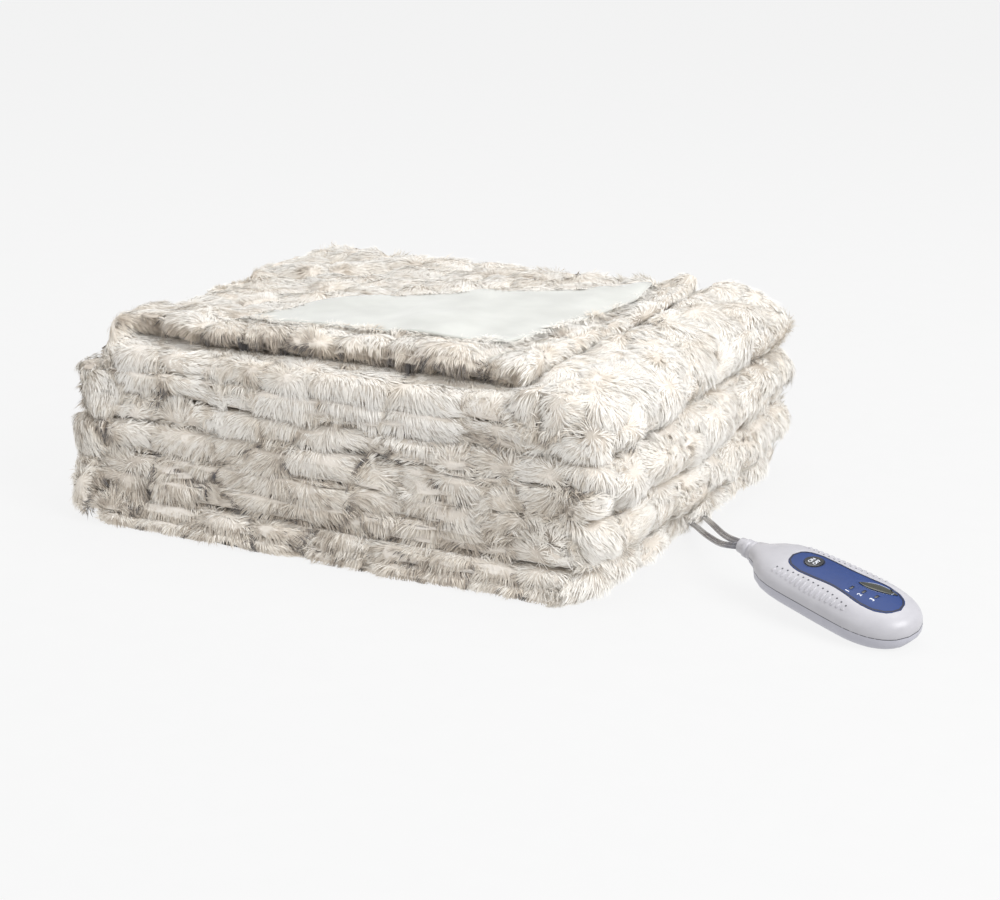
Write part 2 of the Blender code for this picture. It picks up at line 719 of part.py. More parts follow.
def patch(name, where, finish, place, outline, low, high, cells, rings):
    """A plate on the face: an outline as (x, y) pairs across, between two heights over it.

    outline gives, for a share of the length, the x, the lower y and the upper y.
    """
    verts, faces = [], []
    rows = []
    for side, rise in (("low", low), ("high", high)):
        for i in range(cells + 1):
            x, y_low, y_high = outline(i / cells)
            single = abs(y_high - y_low) < 1e-6
            row = []
            for j in range(1 if single else rings + 1):
                y = y_low + (y_high - y_low) * (0 if single else j / rings)
                row.append(len(verts))
                verts.append((x, y, face_height(x, y) + rise))
            rows.append((side, row))
    for side in ("low", "high"):
        lines = [row for mark, row in rows if mark == side]
        for one, two in zip(lines, lines[1:]):
            if len(one) == 1:
                faces += [(one[0], two[j], two[j + 1]) for j in range(len(two) - 1)]
            elif len(two) == 1:
                faces += [(one[j], two[0], one[j + 1]) for j in range(len(one) - 1)]
            else:
                faces += [(one[j], two[j], two[j + 1], one[j + 1]) for j in range(len(one) - 1)]
    low_lines = [row for mark, row in rows if mark == "low"]
    high_lines = [row for mark, row in rows if mark == "high"]
    for end in (0, -1):
        for i in range(cells):
            a, b = low_lines[i][end], low_lines[i + 1][end]
            c, d = high_lines[i + 1][end], high_lines[i][end]
            faces.append((a, b, c, d))
        if len(low_lines[end]) > 1:
            faces.append(tuple(low_lines[end] + high_lines[end][::-1]))
    return mesh_object(name, verts, faces, where, finish, place)


def inlay_outline(grow):
    """The peanut outline, grown by a margin."""
    def read(share):
        share = 0.5 - 0.5 * math.cos(math.pi * share)
        x = INLAY_START + (INLAY_END - INLAY_START) * share
        half = smooth_read(INLAY_COLUMNS, INLAY_PROFILE, "half_width", x / MM) * MM
        if share in (0.0, 1.0):
            return x + (grow if share else -grow), 0.0, 0.0
        return x, -half - grow, half + grow
    return read


def disc_outline(place, radius):
    def read(share):
        angle = math.pi * share
        x = place[0] - radius * math.cos(angle)
        half = radius * math.sin(angle) if 0 < share < 1 else 0.0
        return x, place[1] - half, place[1] + half
    return read


def lens_outline(place, size, turn, grow):
    """A lens of two arcs, leaning with the inlay's far edge."""
    slope = math.tan(math.radians(turn))

    def read(share):
        share = 0.5 - 0.5 * math.cos(math.pi * share)
        along = (share - 0.5) * (size[0] + 4 * grow)
        half = (size[1] / 2 + grow) * (1 - (2 * share - 1) ** 2) ** 0.8
        y = place[1] + along * slope
        if share in (0.0, 1.0):
            return place[0] + along, y, y
        return place[0] + along, y - half, y + half
    return read


def box_outline(place, size, grow):
    def read(share):
        along = (share - 0.5) * (size[0] + 2 * grow)
        half = size[1] / 2 + grow
        return place[0] + along, place[1] - half, place[1] + half
    return read


def handset_turn():
    return (Matrix.Rotation(math.radians(HANDSET_HEADING), 4, "Z")
            @ Matrix.Rotation(math.radians(HANDSET_PITCH), 4, "Y")
            @ Matrix.Rotation(math.radians(HANDSET_ROLL), 4, "X"))


def handset_place():
    """The controller's place: it rests on the surface with its neck held up by the leads."""
    turn = handset_turn()
    lowest = 1.0
    for i in range(SHELL_STATIONS + 1):
        x = HANDSET_LENGTH * math.sin(math.pi / 2 * i / SHELL_STATIONS) ** 1.15
        half, depth = shell_read("half_width", x), shell_read("bottom", x)
        for j in range(SHELL_AROUND + 1):
            angle = math.pi * j / SHELL_AROUND
            across = math.copysign(abs(math.cos(angle)) ** (2 / BELLY_POWER), math.cos(angle))
            down = max(0.0, math.sin(angle)) ** (2 / BELLY_POWER)
            point = turn @ Vector((x, half * across, -GAP / 2 - depth * down))
            lowest = min(lowest, point.z)
    return Matrix.Translation((*HANDSET_NECK, HANDSET_FLOOR - lowest)) @ turn


def build_buttons(where, cutters, finishes, place, holders):
    """Two push buttons in wells through the inlay, each on its own slide along the face."""
    rows = (
        ("power_button", disc_outline(POWER_PLACE, POWER_RADIUS),
         disc_outline(POWER_PLACE, POWER_RADIUS + GAP), "button_black"),
        ("heat_button", lens_outline(HEAT_PLACE, HEAT_SIZE, HEAT_TURN, 0.0),
         lens_outline(HEAT_PLACE, HEAT_SIZE, HEAT_TURN, GAP), "button_olive"),
    )
    for name, outline, well, finish in rows:
        patch(name, where, finishes[finish], place, outline, -BUTTON_DEPTH, BUTTON_PROUD,
              *BUTTON_CELLS)
        cutter = patch(name + "_well", cutters, None, place, well,
                       -BUTTON_DEPTH - BUTTON_TRAVEL - GAP, 6 * MM, *BUTTON_CELLS)
        for holder in holders:
            cut(holder, cutter)


def build_handset(where, cutters, finishes):
    place = handset_place()
    upper = shell_half("upper_shell", where, finishes["shell"], place, "top", CROWN_POWER, 1)
    shell_half("lower_shell", where, finishes["shell_low"], place, "bottom", BELLY_POWER, -1)
    inlay = patch("face_inlay", where, finishes["inlay"], place, inlay_outline(0.0),
                  -INLAY_THICK, INLAY_PROUD, *INLAY_CELLS)
    pocket = patch("inlay_pocket", cutters, None, place, inlay_outline(GAP),
                   -INLAY_THICK - GAP, 6 * MM, *INLAY_CELLS)
    cut(upper, pocket)
    build_buttons(where, cutters, finishes, place, (upper, inlay))
    for i, spot in enumerate(INDICATOR_PLACES, 1):
        patch(f"indicator_{i}", where, finishes["window"], place,
              box_outline(spot, INDICATOR_SIZE, 0.0), -INDICATOR_THICK, INLAY_PROUD, 2, 2)
        window = patch(f"indicator_{i}_hole", cutters, None, place,
                       box_outline(spot, INDICATOR_SIZE, GAP), -INDICATOR_THICK - 0.8 * MM,
                       6 * MM, 2, 2)
        cut(inlay, window)
        cut(upper, window)
    build_collar(where, finishes["shell"], place)
    return place


def turned(name, profile, sides, where, finish, place):
    """A turned solid round local Z: profile rows are (height, radius), from the top down."""
    mesh = bpy.data.meshes.new(name)
    points = [(0.0, 0.0, profile[0][0])]
    points += [(radius, 0.0, height) for height, radius in profile]
    points += [(0.0, 0.0, profile[-1][0])]
    mesh.from_pydata(points, [(i, i + 1) for i in range(len(points) - 1)], [])
    mesh.materials.append(finish)
    made = bpy.data.objects.new(name, mesh)
    where.objects.link(made)
    made.matrix_world = place
    screw = made.modifiers.new("turn", "SCREW")
    screw.steps = sides
    screw.render_steps = sides
    screw.use_merge_vertices = True
    screw.merge_threshold = 0.00001
    screw.use_smooth_shade = False
    return made


def build_collar(where, finish, place):
    """The ringed collar on the neck's end; its own Z points out along the leads."""
    rows = [((along + GAP / MM) * MM, radius * MM) for along, radius in COLLAR_PROFILE]
    outward = place @ Matrix.Rotation(math.radians(-90), 4, "Y")
    turned("lead_collar", list(reversed(rows)), COLLAR_SIDES, where, finish, outward)


# ---- the leads -----------------------------------------------------------------------------
def tube(name, points, where, finish):
    curve = bpy.data.curves.new(name, "CURVE")
    curve.dimensions = "3D"
    curve.bevel_depth = LEAD_RADIUS
    curve.bevel_resolution = 2
    curve.use_fill_caps = True
    spline = curve.splines.new("POLY")
    spline.points.add(len(points) - 1)
    for item, point in zip(spline.points, points):
        item.co = (*point, 1.0)
    curve.materials.append(finish)
    made = bpy.data.objects.new(name, curve)
    where.objects.link(made)
    return made


def coil_size(grid):
    """Inner radius, outer radius and height of a coil's outer shape."""
    half = grid[0] * COIL_PITCH / 2
    return COIL_MIDDLE - half, COIL_MIDDLE + half, grid[1] * COIL_PITCH


def coil_meeting(centre, grid, reach):
    """Where a lead's end comes up to a coil, on the side it approaches from."""
    reach += coil_size(grid)[1]
    angle = math.radians(COIL_APPROACH)
    return (centre[0] + reach * math.cos(angle), centre[1] + reach * math.sin(angle), LEAD_REST)


def lead_points(place, side, route, centre, grid, reach):
    """A lead's smooth route from the collar to its coil."""
    across = side * LEAD_PITCH / 2
    collar = COLLAR_PROFILE[-1][0] * MM + 3 * GAP
    straight = LEAD_STRAIGHT - side * LEAD_PITCH / 4
    start = [place @ Vector((-collar - d, across, 0.0)) for d in (0.0, straight)]
    middle = [Vector((x, y, LEAD_REST + z)) for x, y, z in route]
    path = smooth_path(start + middle + [Vector(coil_meeting(centre, grid, reach))], LEAD_STEP)
    for point in path:
        point.z = max(point.z, LEAD_REST)
    return path


def tunnel(name, path, cutters):
    """A half-round tunnel for a lead under the lowest layer, past both edges of the stack."""
    reach = (STACK_WIDTH / 2 + 0.016, STACK_DEPTH / 2 + 0.016)
    path = [point for point in path if abs(point.x) < reach[0] and abs(point.y) < reach[1]]
    half = LEAD_RADIUS + TUNNEL_SIDE
    outline = ((-1.0, 0.0), (1.0, 0.0), (1.0, 0.55), (0.6, 0.92), (0.0, 1.0), (-0.6, 0.92),
               (-1.0, 0.55))
    verts, faces = [], []
    count = len(outline)
    for i, point in enumerate(path):
        ahead = path[min(i + 1, len(path) - 1)] - path[max(i - 1, 0)]
        across = Vector((ahead.y, -ahead.x, 0.0)).normalized()
        top = point.z + half
        for side, up in outline:
            height = up * top if up else -2 * MM
            verts.append(Vector((point.x, point.y, height)) + across * side * half)
    for i in range(len(path) - 1):
        for j in range(count):
            a, b = i * count + j, i * count + (j + 1) % count
            faces.append((a, b, b + count, a + count))
    faces.append(tuple(range(count)))
    faces.append(tuple((len(path) - 1) * count + j for j in range(count)))
    return mesh_object(name, verts, faces, cutters)


def build_coil(name, centre, grid, where, finish):
    inner, outer, height = coil_size(grid)
    edge = 1.2 * MM
    rows = [(inner, edge), (inner, height - edge), (inner + edge, height), (outer - edge, height),
            (outer, height - edge), (outer, edge), (outer - edge, 0.0), (inner + edge, 0.0)]
    mesh = bpy.data.meshes.new(name)
    points = [(radius, 0.0, z) for radius, z in rows]
    mesh.from_pydata(points, [(i, (i + 1) % len(points)) for i in range(len(points))], [])
    mesh.materials.append(finish)
    made = bpy.data.objects.new(name, mesh)
    where.objects.link(made)
    made.location = (*centre, 0.0)
    screw = made.modifiers.new("turn", "SCREW")
    screw.steps = COIL_SIDES
    screw.render_steps = COIL_SIDES
    screw.use_merge_vertices = True
    screw.merge_threshold = 0.00001
    screw.use_smooth_shade = False
    return made


def build_leads(where, cutters, finishes, place, throw):
    grey = finishes["lead"]
    mains = lead_points(place, -1, MAINS_ROUTE, MAINS_COIL_PLACE, MAINS_COIL_GRID,
                        MAINS_COIL_REACH)
    blanket = lead_points(place, 1, BLANKET_ROUTE, BLANKET_COIL_PLACE, BLANKET_COIL_GRID,
                          BLANKET_COIL_REACH)
    tube("mains_lead", mains, where, grey)
    tube("blanket_lead", blanket, where, grey)
    cut(throw, tunnel("mains_tunnel", mains, cutters))
    cut(throw, tunnel("blanket_tunnel", blanket, cutters))
    build_coil("mains_coil", MAINS_COIL_PLACE, MAINS_COIL_GRID, where, grey)
    build_coil("blanket_coil", BLANKET_COIL_PLACE, BLANKET_COIL_GRID, where, grey)
    build_blanket_end(where, grey)
    build_plug(where, finishes)


def build_blanket_end(where, finish):
    """The blanket lead's last stretch, from its coil forward into the back edge."""
    x = BLANKET_COIL_PLACE[0] - COIL_MIDDLE
    outer = coil_size(BLANKET_COIL_GRID)[1]
    reach = math.sqrt(outer ** 2 - (COIL_MIDDLE - LEAD_RADIUS) ** 2)
    start = Vector((x, BLANKET_COIL_PLACE[1] - reach - GAP, LEAD_REST))
    back = STACK_DEPTH / 2 - table(LAYER_COLUMNS, LAYERS)[0]["back"] * MM
    back -= puffs(FRONT_PUFFS, x + 0.2, table(LAYER_COLUMNS, LAYERS)[0]["thick"] * MM / 2)
    end = Vector((x, back + 2 * GAP, BLANKET_END_HEIGHT))
    middle = start.lerp(end, 0.5)
    middle.z = LEAD_REST + 0.3 * (BLANKET_END_HEIGHT - LEAD_REST)
    tube("blanket_lead_end", smooth_path([start, middle, end], LEAD_STEP / 2), where, finish)


def build_plug(where, finishes):
    """The mains plug on its short tail behind the mains coil, its blades pointing left."""
    inner, outer, _ = coil_size(MAINS_COIL_GRID)
    y = MAINS_COIL_PLACE[1] + COIL_MIDDLE
    reach = math.sqrt(outer ** 2 - (COIL_MIDDLE - LEAD_RADIUS) ** 2)
    start = Vector((MAINS_COIL_PLACE[0] - reach - GAP, y, LEAD_REST))
    end = start - Vector((PLUG_CORD_LENGTH, 0.0, 0.0))
    end.z = PLUG_BODY[2] / 2
    near, level = start.lerp(end, 0.3), start.lerp(end, 0.75)
    near.z = LEAD_REST + 0.2 * (end.z - LEAD_REST)
    level.z = end.z
    tube("mains_tail", smooth_path([start, near, level, end], LEAD_STEP / 3), where,
         finishes["lead"])
    body_x = end.x - GAP - PLUG_BODY[0] / 2
    bpy.ops.mesh.primitive_cube_add(size=1.0)
    body = bpy.context.active_object
    body.name = "plug_body"
    body.data.name = "plug_body"
    body.data.transform(Matrix.Diagonal((*PLUG_BODY, 1.0)))
    body.location = (body_x, y, PLUG_BODY[2] / 2)
    bevel = body.modifiers.new("round", "BEVEL")
    bevel.width = PLUG_BEVEL
    bevel.segments = 3
    body.data.materials.append(finishes["lead"])
    for item in list(body.users_collection):
        item.objects.unlink(body)
    where.objects.link(body)
    for name, width, side in BLADE_WIDTHS:
        half = (BLADE_LENGTH / 2, BLADE_THICK / 2, width / 2)
        centre = Vector((body_x - PLUG_BODY[0] / 2 - GAP - half[0],
                         y + side * BLADE_PITCH / 2, PLUG_BODY[2] / 2))
        corners = [(sx, sy, sz) for sx in (-1, 1) for sy in (-1, 1) for sz in (-1, 1)]
        verts = [centre + Vector((sx * half[0], sy * half[1], sz * half[2]))
                 for sx, sy, sz in corners]
        faces = [(0, 1, 3, 2), (4, 6, 7, 5), (0, 4, 5, 1), (2, 3, 7, 6), (0, 2, 6, 4),
                 (1, 5, 7, 3)]
        mesh_object(name, verts, faces, where, finishes["blade"])


def main():
    clear_scene()
    where = collection("heated_throw")
    cutters = collection("cutters")
    finishes = {
        "fur": material("faux_fur", "E6E0D6", 0.95),
        "lining": material("plush_lining", "F3F4F2", 0.9),
        "shell": material("shell_plastic", "D9D8E0", 0.38),
        "shell_low": material("shell_plastic_low", "C9C8CF", 0.42),
        "inlay": material("inlay_blue", "3D5FA8", 0.3),
        "button_black": material("button_black", "141518", 0.35),
        "button_olive": material("button_olive", "45443A", 0.35),
        "window": material("indicator_window", "0D0E16", 0.2),
        "lead": material("lead_vinyl", "B9BABF", 0.4),
        "blade": material("blade_metal", "B9A877", 0.25, 1.0),
    }
    throw = build_throw(where, finishes["fur"])
    build_lining(where, finishes["lining"])
    place = build_handset(where, cutters, finishes)
    build_leads(where, cutters, finishes, place, throw)


main()
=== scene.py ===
"""Electric throw, folded, with its hand controller: the looks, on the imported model's frame."""
import math

import bmesh
import bpy
import numpy as np
from mathutils import Matrix, Vector
from mathutils.bvhtree import BVHTree


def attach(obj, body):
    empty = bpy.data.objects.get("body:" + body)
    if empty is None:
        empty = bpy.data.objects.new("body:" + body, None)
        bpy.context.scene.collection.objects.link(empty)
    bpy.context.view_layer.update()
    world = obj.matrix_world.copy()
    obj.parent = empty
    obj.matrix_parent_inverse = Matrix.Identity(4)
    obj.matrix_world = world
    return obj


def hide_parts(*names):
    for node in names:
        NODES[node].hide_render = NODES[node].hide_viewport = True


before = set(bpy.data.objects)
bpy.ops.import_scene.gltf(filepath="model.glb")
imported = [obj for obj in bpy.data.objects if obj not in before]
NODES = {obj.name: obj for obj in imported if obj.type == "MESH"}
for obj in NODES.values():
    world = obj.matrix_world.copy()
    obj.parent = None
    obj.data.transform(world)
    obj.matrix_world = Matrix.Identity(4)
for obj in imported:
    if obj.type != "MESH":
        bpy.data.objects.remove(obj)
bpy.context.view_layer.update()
MM = 0.001
DOWN = Vector((0, 0, -1))

# ---------------------------------------------------------------- camera
CAMERA_AZIMUTH, CAMERA_ELEVATION = math.radians(27.0), math.radians(17.21)
CAMERA_PLACE = Vector((0.8402, -1.5352, 0.5734))
CAMERA_LENS_MM, CAMERA_SENSOR_MM = 79.2, 36.0


def set_up_camera():
    """The photographer's camera: a short telephoto, a little above the throw and to its right."""
    a, e = CAMERA_AZIMUTH, CAMERA_ELEVATION
    back = Vector((math.sin(a) * math.cos(e), -math.cos(a) * math.cos(e), math.sin(e)))
    right = Vector((math.cos(a), math.sin(a), 0.0))
    up = back.cross(right)
    data = bpy.data.cameras.new("studio_camera")
    data.lens, data.sensor_width = CAMERA_LENS_MM, CAMERA_SENSOR_MM
    camera = in_scene("studio_camera", data)
    camera.matrix_world = Matrix.Translation(CAMERA_PLACE) @ Matrix((right, up, back)).transposed().to_4x4()
    bpy.context.scene.camera = camera


# ---------------------------------------------------------------- materials
def srgb(code):
    """A "#rrggbb" colour as the linear one that shaders take."""
    parts = (int(code[i:i + 2], 16) / 255 for i in (1, 3, 5))
    return (*(c / 12.92 if c <= 0.04045 else ((c + 0.055) / 1.055) ** 2.4 for c in parts), 1.0)


def add(tree, kind, settings=None, links=None):
    """Adds a node; a setting is a property or a socket's value, and a link is socket: source."""
    made = tree.nodes.new("ShaderNode" + kind)
    for name, value in (settings or {}).items():
        if isinstance(name, str) and hasattr(made, name):
            setattr(made, name, value)
        else:
            made.inputs[name].default_value = value
    for name, source in (links or {}).items():
        tree.links.new(source, made.inputs[name])
    return made


def start_material(name):
    """An empty node tree for a material, and the material."""
    material = bpy.data.materials.new(name)
    material.use_nodes = True
    material.node_tree.nodes.clear()
    return material, material.node_tree


def finish_material(material, surface):
    """Links the surface to the material's output."""
    add(material.node_tree, "OutputMaterial", links={"Surface": surface.outputs[0]})
    return material


def shade_stops(tree, source, stops):
    """A colour ramp from (position, hex) stops."""
    ramp = add(tree, "ValToRGB", links={"Fac": source})
    ramp.color_ramp.interpolation = "LINEAR"
    marks = ramp.color_ramp.elements
    while len(marks) < len(stops):
        marks.new(0.5)
    for mark, (place, code) in zip(marks, stops):
        mark.position = place
        mark.color = srgb(code)
    return ramp.outputs["Color"]


# The darker stops serve both the fur's beige and slate streaks and painted shade.
FUR_STOPS = (
    (0.00, "#F9F8F5"), (0.26, "#F3F0EA"), (0.48, "#E3DCD1"),
    (0.68, "#BFB4A7"), (0.85, "#8B847E"), (1.00, "#646365"),
)


def make_fur():
    """Acrylic faux fur, printed and tumbled: matt ivory hair with beige and slate streaks, and painted shade.

    A hair's shade is in the first UV coordinate, where the darker stops serve its streaks and painted shade
    alike, and the second runs from its root to its tip, painted darker towards the root as shade in the pile.
    """
    material, tree = start_material("acrylic_faux_fur")
    coords = add(tree, "UVMap", {"uv_map": "OFBake"})
    parts = add(tree, "SeparateXYZ", links={"Vector": coords.outputs["UV"]})
    shade = shade_stops(tree, parts.outputs["X"], FUR_STOPS)
    # Painted shade in the pile: each hair is darker towards its root.
    depth = shade_stops(tree, parts.outputs["Y"], ((0.0, "#E6DFD7"), (0.40, "#FDFBF8"), (1.0, "#FFFFFF")))
    mixed = add(tree, "Mix", {"data_type": "RGBA", "blend_type": "MULTIPLY", 0: 1.0}, {6: shade, 7: depth})
    surface = add(
        tree, "BsdfPrincipled",
        {"Roughness": 0.8, "IOR": 1.49, "Sheen Weight": 0.2, "Sheen Roughness": 0.5,
         "Specular IOR Level": 0.35},
        {"Base Color": mixed.outputs[2]},
    )
    return finish_material(material, surface)


def make_fur_ground():
    """The knitted ground and dense underfur between the hairs: matt, dull beige.

    The underfur's fluff is drawn 2.2 mm across, coarser than real, so that it shows.
    """
    material, tree = start_material("underfur_ground")
    place = {"Vector": add(tree, "TexCoord").outputs["Object"]}
    patches = add(tree, "TexNoise", {"Scale": 1 / (45 * MM), "Detail": 5.0, "Roughness": 0.62}, place)
    fluff = add(tree, "TexNoise", {"Scale": 1 / (2.2 * MM), "Detail": 3.0}, place)
    shade = shade_stops(tree, patches.outputs["Fac"],
                        ((0.35, "#E6E0D8"), (0.55, "#D8D0C5"), (0.70, "#B4AA9F")))
    bump = add(tree, "Bump", {"Strength": 0.6, "Distance": 1.2 * MM}, {"Height": fluff.outputs["Fac"]})
    surface = add(tree, "BsdfPrincipled", {"Roughness": 0.95, "IOR": 1.49, "Specular IOR Level": 0.2},
                  {"Base Color": shade, "Normal": bump.outputs["Normal"]})
    return finish_material(material, surface)


def make_plush():
    """Brushed polyester plush: clean white, with a soft sheen off its short pile.

    The pile is drawn 1.3 mm across, coarser than real, so that it shows.
    """
    material, tree = start_material("polyester_plush")
    place = {"Vector": add(tree, "TexCoord").outputs["Object"]}
    brushed = add(tree, "TexNoise", {"Scale": 1 / (35 * MM), "Detail": 2.0}, place)
    pile = add(tree, "TexNoise", {"Scale": 1 / (1.3 * MM), "Detail": 2.0}, place)
    shade = shade_stops(tree, brushed.outputs["Fac"], ((0.3, "#C3C4BF"), (0.65, "#D0D1CC")))
    bump = add(tree, "Bump", {"Strength": 0.35, "Distance": 0.5 * MM}, {"Height": pile.outputs["Fac"]})
    surface = add(
        tree, "BsdfPrincipled",
        {"Roughness": 0.85, "IOR": 1.5, "Sheen Weight": 0.5, "Sheen Roughness": 0.35,
         "Specular IOR Level": 0.25},
        {"Base Color": shade, "Normal": bump.outputs["Normal"]},
    )
    return finish_material(material, surface)


def make_moulding(name, low, high, roughness, grain_mm=0.35, bump_mm=0.02, coat=0.0, metallic=0.0, ior=1.54):
    """A moulded or drawn part: two close colours over a fine grain, with a slightly uneven gloss.

    A real tool's grain, some 0.05 mm, is drawn several times coarser so that it shows.
    """
    material, tree = start_material(name)
    place = {"Vector": add(tree, "TexCoord").outputs["Object"]}
    cloud = add(tree, "TexNoise", {"Scale": 1 / (12 * MM), "Detail": 3.0}, place)
    grain = add(tree, "TexNoise", {"Scale": 1 / (grain_mm * MM), "Detail": 1.0}, place)
    shade = shade_stops(tree, cloud.outputs["Fac"], ((0.3, low), (0.7, high)))
    gloss = add(tree, "MapRange", {"To Min": roughness - 0.05, "To Max": roughness + 0.06},
                {"Value": cloud.outputs["Fac"]})
    bump = add(tree, "Bump", {"Strength": 0.5, "Distance": bump_mm * MM}, {"Height": grain.outputs["Fac"]})
    surface = add(
        tree, "BsdfPrincipled",
        {"IOR": ior, "Metallic": metallic, "Coat Weight": coat, "Coat Roughness": 0.12},
        {"Base Color": shade, "Roughness": gloss.outputs["Result"], "Normal": bump.outputs["Normal"]},
    )
    return finish_material(material, surface)


# ABS, spark-eroded tool: a fine matt grain that keeps a wide soft highlight.
SHELL_ABS = make_moulding("moulded_abs_shell", "#AFAEB3", "#B6B5BA", 0.36)
# The lower shell: the same ABS painted a little darker, as painted shade on the handset's underside.
LOWER_ABS_PAINTED_SHADE = make_moulding("abs_lower_shell_painted_shade", "#A9A9B2", "#B1B1BA", 0.38)
# Screen-printed polycarbonate: even blue with a satin face.
INLAY_BLUE = make_moulding("printed_polycarbonate_blue", "#032D6A", "#063170", 0.44)
INLAY_RIM = make_moulding("printed_polycarbonate_navy", "#060E26", "#0A1430", 0.4)
# Glossy moulded buttons: near black, and a dark olive smoked one.
BUTTON_BLACK = make_moulding("moulded_abs_black", "#15171B", "#1D1F24", 0.24, coat=0.3)
BUTTON_OLIVE = make_moulding("smoked_acrylic_olive", "#23251C", "#303226", 0.16, coat=0.6)
# The heat button's lip: a smooth bluish grey strip, painted light as the highlight its edge catches.
LENS_LIP_HIGHLIGHT = make_moulding("abs_rim_painted_highlight", "#8C93A6", "#A4AABA", 0.3)
# Smoked acrylic windows, unlit: near black, with a glassy face.
WINDOW_SMOKE = make_moulding("smoked_acrylic_window", "#10131A", "#181C25", 0.12, coat=0.6)
# Screen-printing ink: an even cool white, dull beside the face.
PRINT_WHITE = make_moulding("screen_print_white", "#D9DEEA", "#EDF0F6", 0.55)
# Dark grey of the small dots, and painted shadow in the seam between the shells: matt.
DOT_GREY_AND_SEAM_SHADOW = make_moulding("grey_dots_and_painted_seam_shadow", "#4A4A50", "#55555C", 0.5)
# Soft PVC: grey, waxy gloss.
LEAD_PVC = make_moulding("extruded_pvc_lead", "#6C6B71", "#7C7B82", 0.16, grain_mm=0.5, coat=0.4)
PLUG_PVC = make_moulding("moulded_pvc_plug", "#A6A5AC", "#B4B3BA", 0.38, grain_mm=0.5)
# Nickel-plated brass: bright, with a warm tone.
BLADE_NICKEL = make_moulding("nickel_plated_blade", "#B8B3A6", "#C9C4B7", 0.28, bump_mm=0.01, metallic=1.0,
                             ior=1.5)
FUR = make_fur()
FUR_GROUND = make_fur_ground()
PLUSH = make_plush()


# ---------------------------------------------------------------- meshes
def in_scene(name, data):
    """A new object of a mesh, camera, lamp or word, in the scene."""
    made = bpy.data.objects.new(name, data)
    bpy.context.scene.collection.objects.link(made)
    return made


def mesh_piece(name, points, faces, material, body="blanket", smooth=True):
    """A new object from points and faces, riding on a body."""
    mesh = bpy.data.meshes.new(name)
    mesh.from_pydata([tuple(p) for p in points], [], [tuple(f) for f in faces])
    mesh.materials.append(material)
    mesh.polygons.foreach_set("use_smooth", [smooth] * len(mesh.polygons))
    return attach(in_scene(name, mesh), body)


def unit(vectors):
    """Rows of vectors, each made one long."""
    return vectors / np.maximum(np.linalg.norm(vectors, axis=1), 1e-12)[:, None]


def welded(node):
    """A bmesh of a CAD node with its split corners joined and its flat triangles made quads."""
    work = bmesh.new()
    work.from_mesh(NODES[node].data)
    bmesh.ops.remove_doubles(work, verts=work.verts, dist=2e-6)
    bmesh.ops.join_triangles(work, faces=work.faces, angle_face_threshold=math.radians(40),
                             angle_shape_threshold=math.radians(60))
    return work


def settle(piece):
    """Applies a piece's modifiers and gives its new mesh."""
    mesh = bpy.data.meshes.new_from_object(piece.evaluated_get(bpy.context.evaluated_depsgraph_get()))
    piece.modifiers.clear()
    piece.data = mesh
    mesh.name = piece.name
    return mesh


def finished(node, name, material, body, bevel_mm, sharp_degrees):
    """A hard piece from its CAD node: corners eased, shaded smooth between its real edges."""
    work = welded(node)
    piece = in_scene(name, bpy.data.meshes.new(name))
    work.to_mesh(piece.data)
    work.free()
    piece.data.materials.append(material)
    ease = piece.modifiers.new("eased_edges", "BEVEL")
    ease.width, ease.segments, ease.limit_method = bevel_mm * MM, 2, "ANGLE"
    ease.angle_limit = math.radians(sharp_degrees)
    ease.use_clamp_overlap = True
    mesh = settle(piece)
    mesh.shade_smooth()
    mesh.set_sharp_from_angle(angle=math.radians(sharp_degrees))
    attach(piece, body)
    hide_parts(node)


# ---------------------------------------------------------------- leads
LEAD_WIDTH, LEAD_THICK, WAIST_THICK = 5.2 * MM, 2.7 * MM, 0.9 * MM
LEAD_GAP = 0.15 * MM                      # off the floor
LEAD_LOW = LEAD_GAP + LEAD_THICK / 2      # a lead's middle where it lies
LEAD_STEP = 5.0 * MM
TURN_PITCH, COIL_LAYER = LEAD_WIDTH + 0.2 * MM, 3.1 * MM
COIL_STEPS = 36                           # points a turn
LEAD_TWIST, LEAD_TWIST_LENGTH = math.radians(46), 0.15

# Points of each lead, in metres: the first two are its middle at the collar, and for the others the
# height is what lies between the lead and the floor.
MAINS_ROUTE = (
    (.3114, -.1177, .0350), (.3020, -.1142, .0332), (.2888, -.0969, .0257), (.2653, -.0633, .0177),
    (.2399, -.0222, .0082), (.2214, .0047, .0017), (.2050, .0260, 0), (.1850, .0440, 0),
    (.1560, .0620, 0), (.1160, .0840, 0), (.0765, .1160, 0), (.0485, .1520, 0), (.0365, .1900, 0),
)
BLANKET_ROUTE = (
    (.3134, -.1125, .0359), (.3028, -.1040, .0340), (.2871, -.0825, .0272), (.2625, -.0421, .0187),
    (.2407, -.0035, .0092), (.2254, .0240, .0016), (.2120, .0490, 0), (.1940, .0800, 0),
    (.1690, .1120, 0), (.1460, .1480, 0), (.1355, .1900, 0),
)
# Each coil: its middle, its inner and outer turn, and the angle it is wound to.
MAINS_COIL = (-.0015, .2405), (25.6 * MM, 36.4 * MM), math.radians(90 + 360 * 7)
BLANKET_COIL = (.1030, .2380), (28.4 * MM, 33.8 * MM), math.radians(180 + 360 * 3)


def catmull_rom(points, step):
    """Points along a smooth curve through the given ones, about a step apart."""
    p = [Vector(q) for q in points]
    p = [2 * p[0] - p[1]] + p + [2 * p[-1] - p[-2]]
    out = []
    for a, b, c, d in zip(p, p[1:], p[2:], p[3:]):
        pieces = max(2, int((c - b).length / step))
        for i in range(pieces):
            t = i / pieces
            out.append(0.5 * ((2 * b) + (c - a) * t + (2 * a - 5 * b + 4 * c - d) * t * t
                              + (3 * b - a - 3 * c + d) * t ** 3))
    out.append(p[-2])
    return out


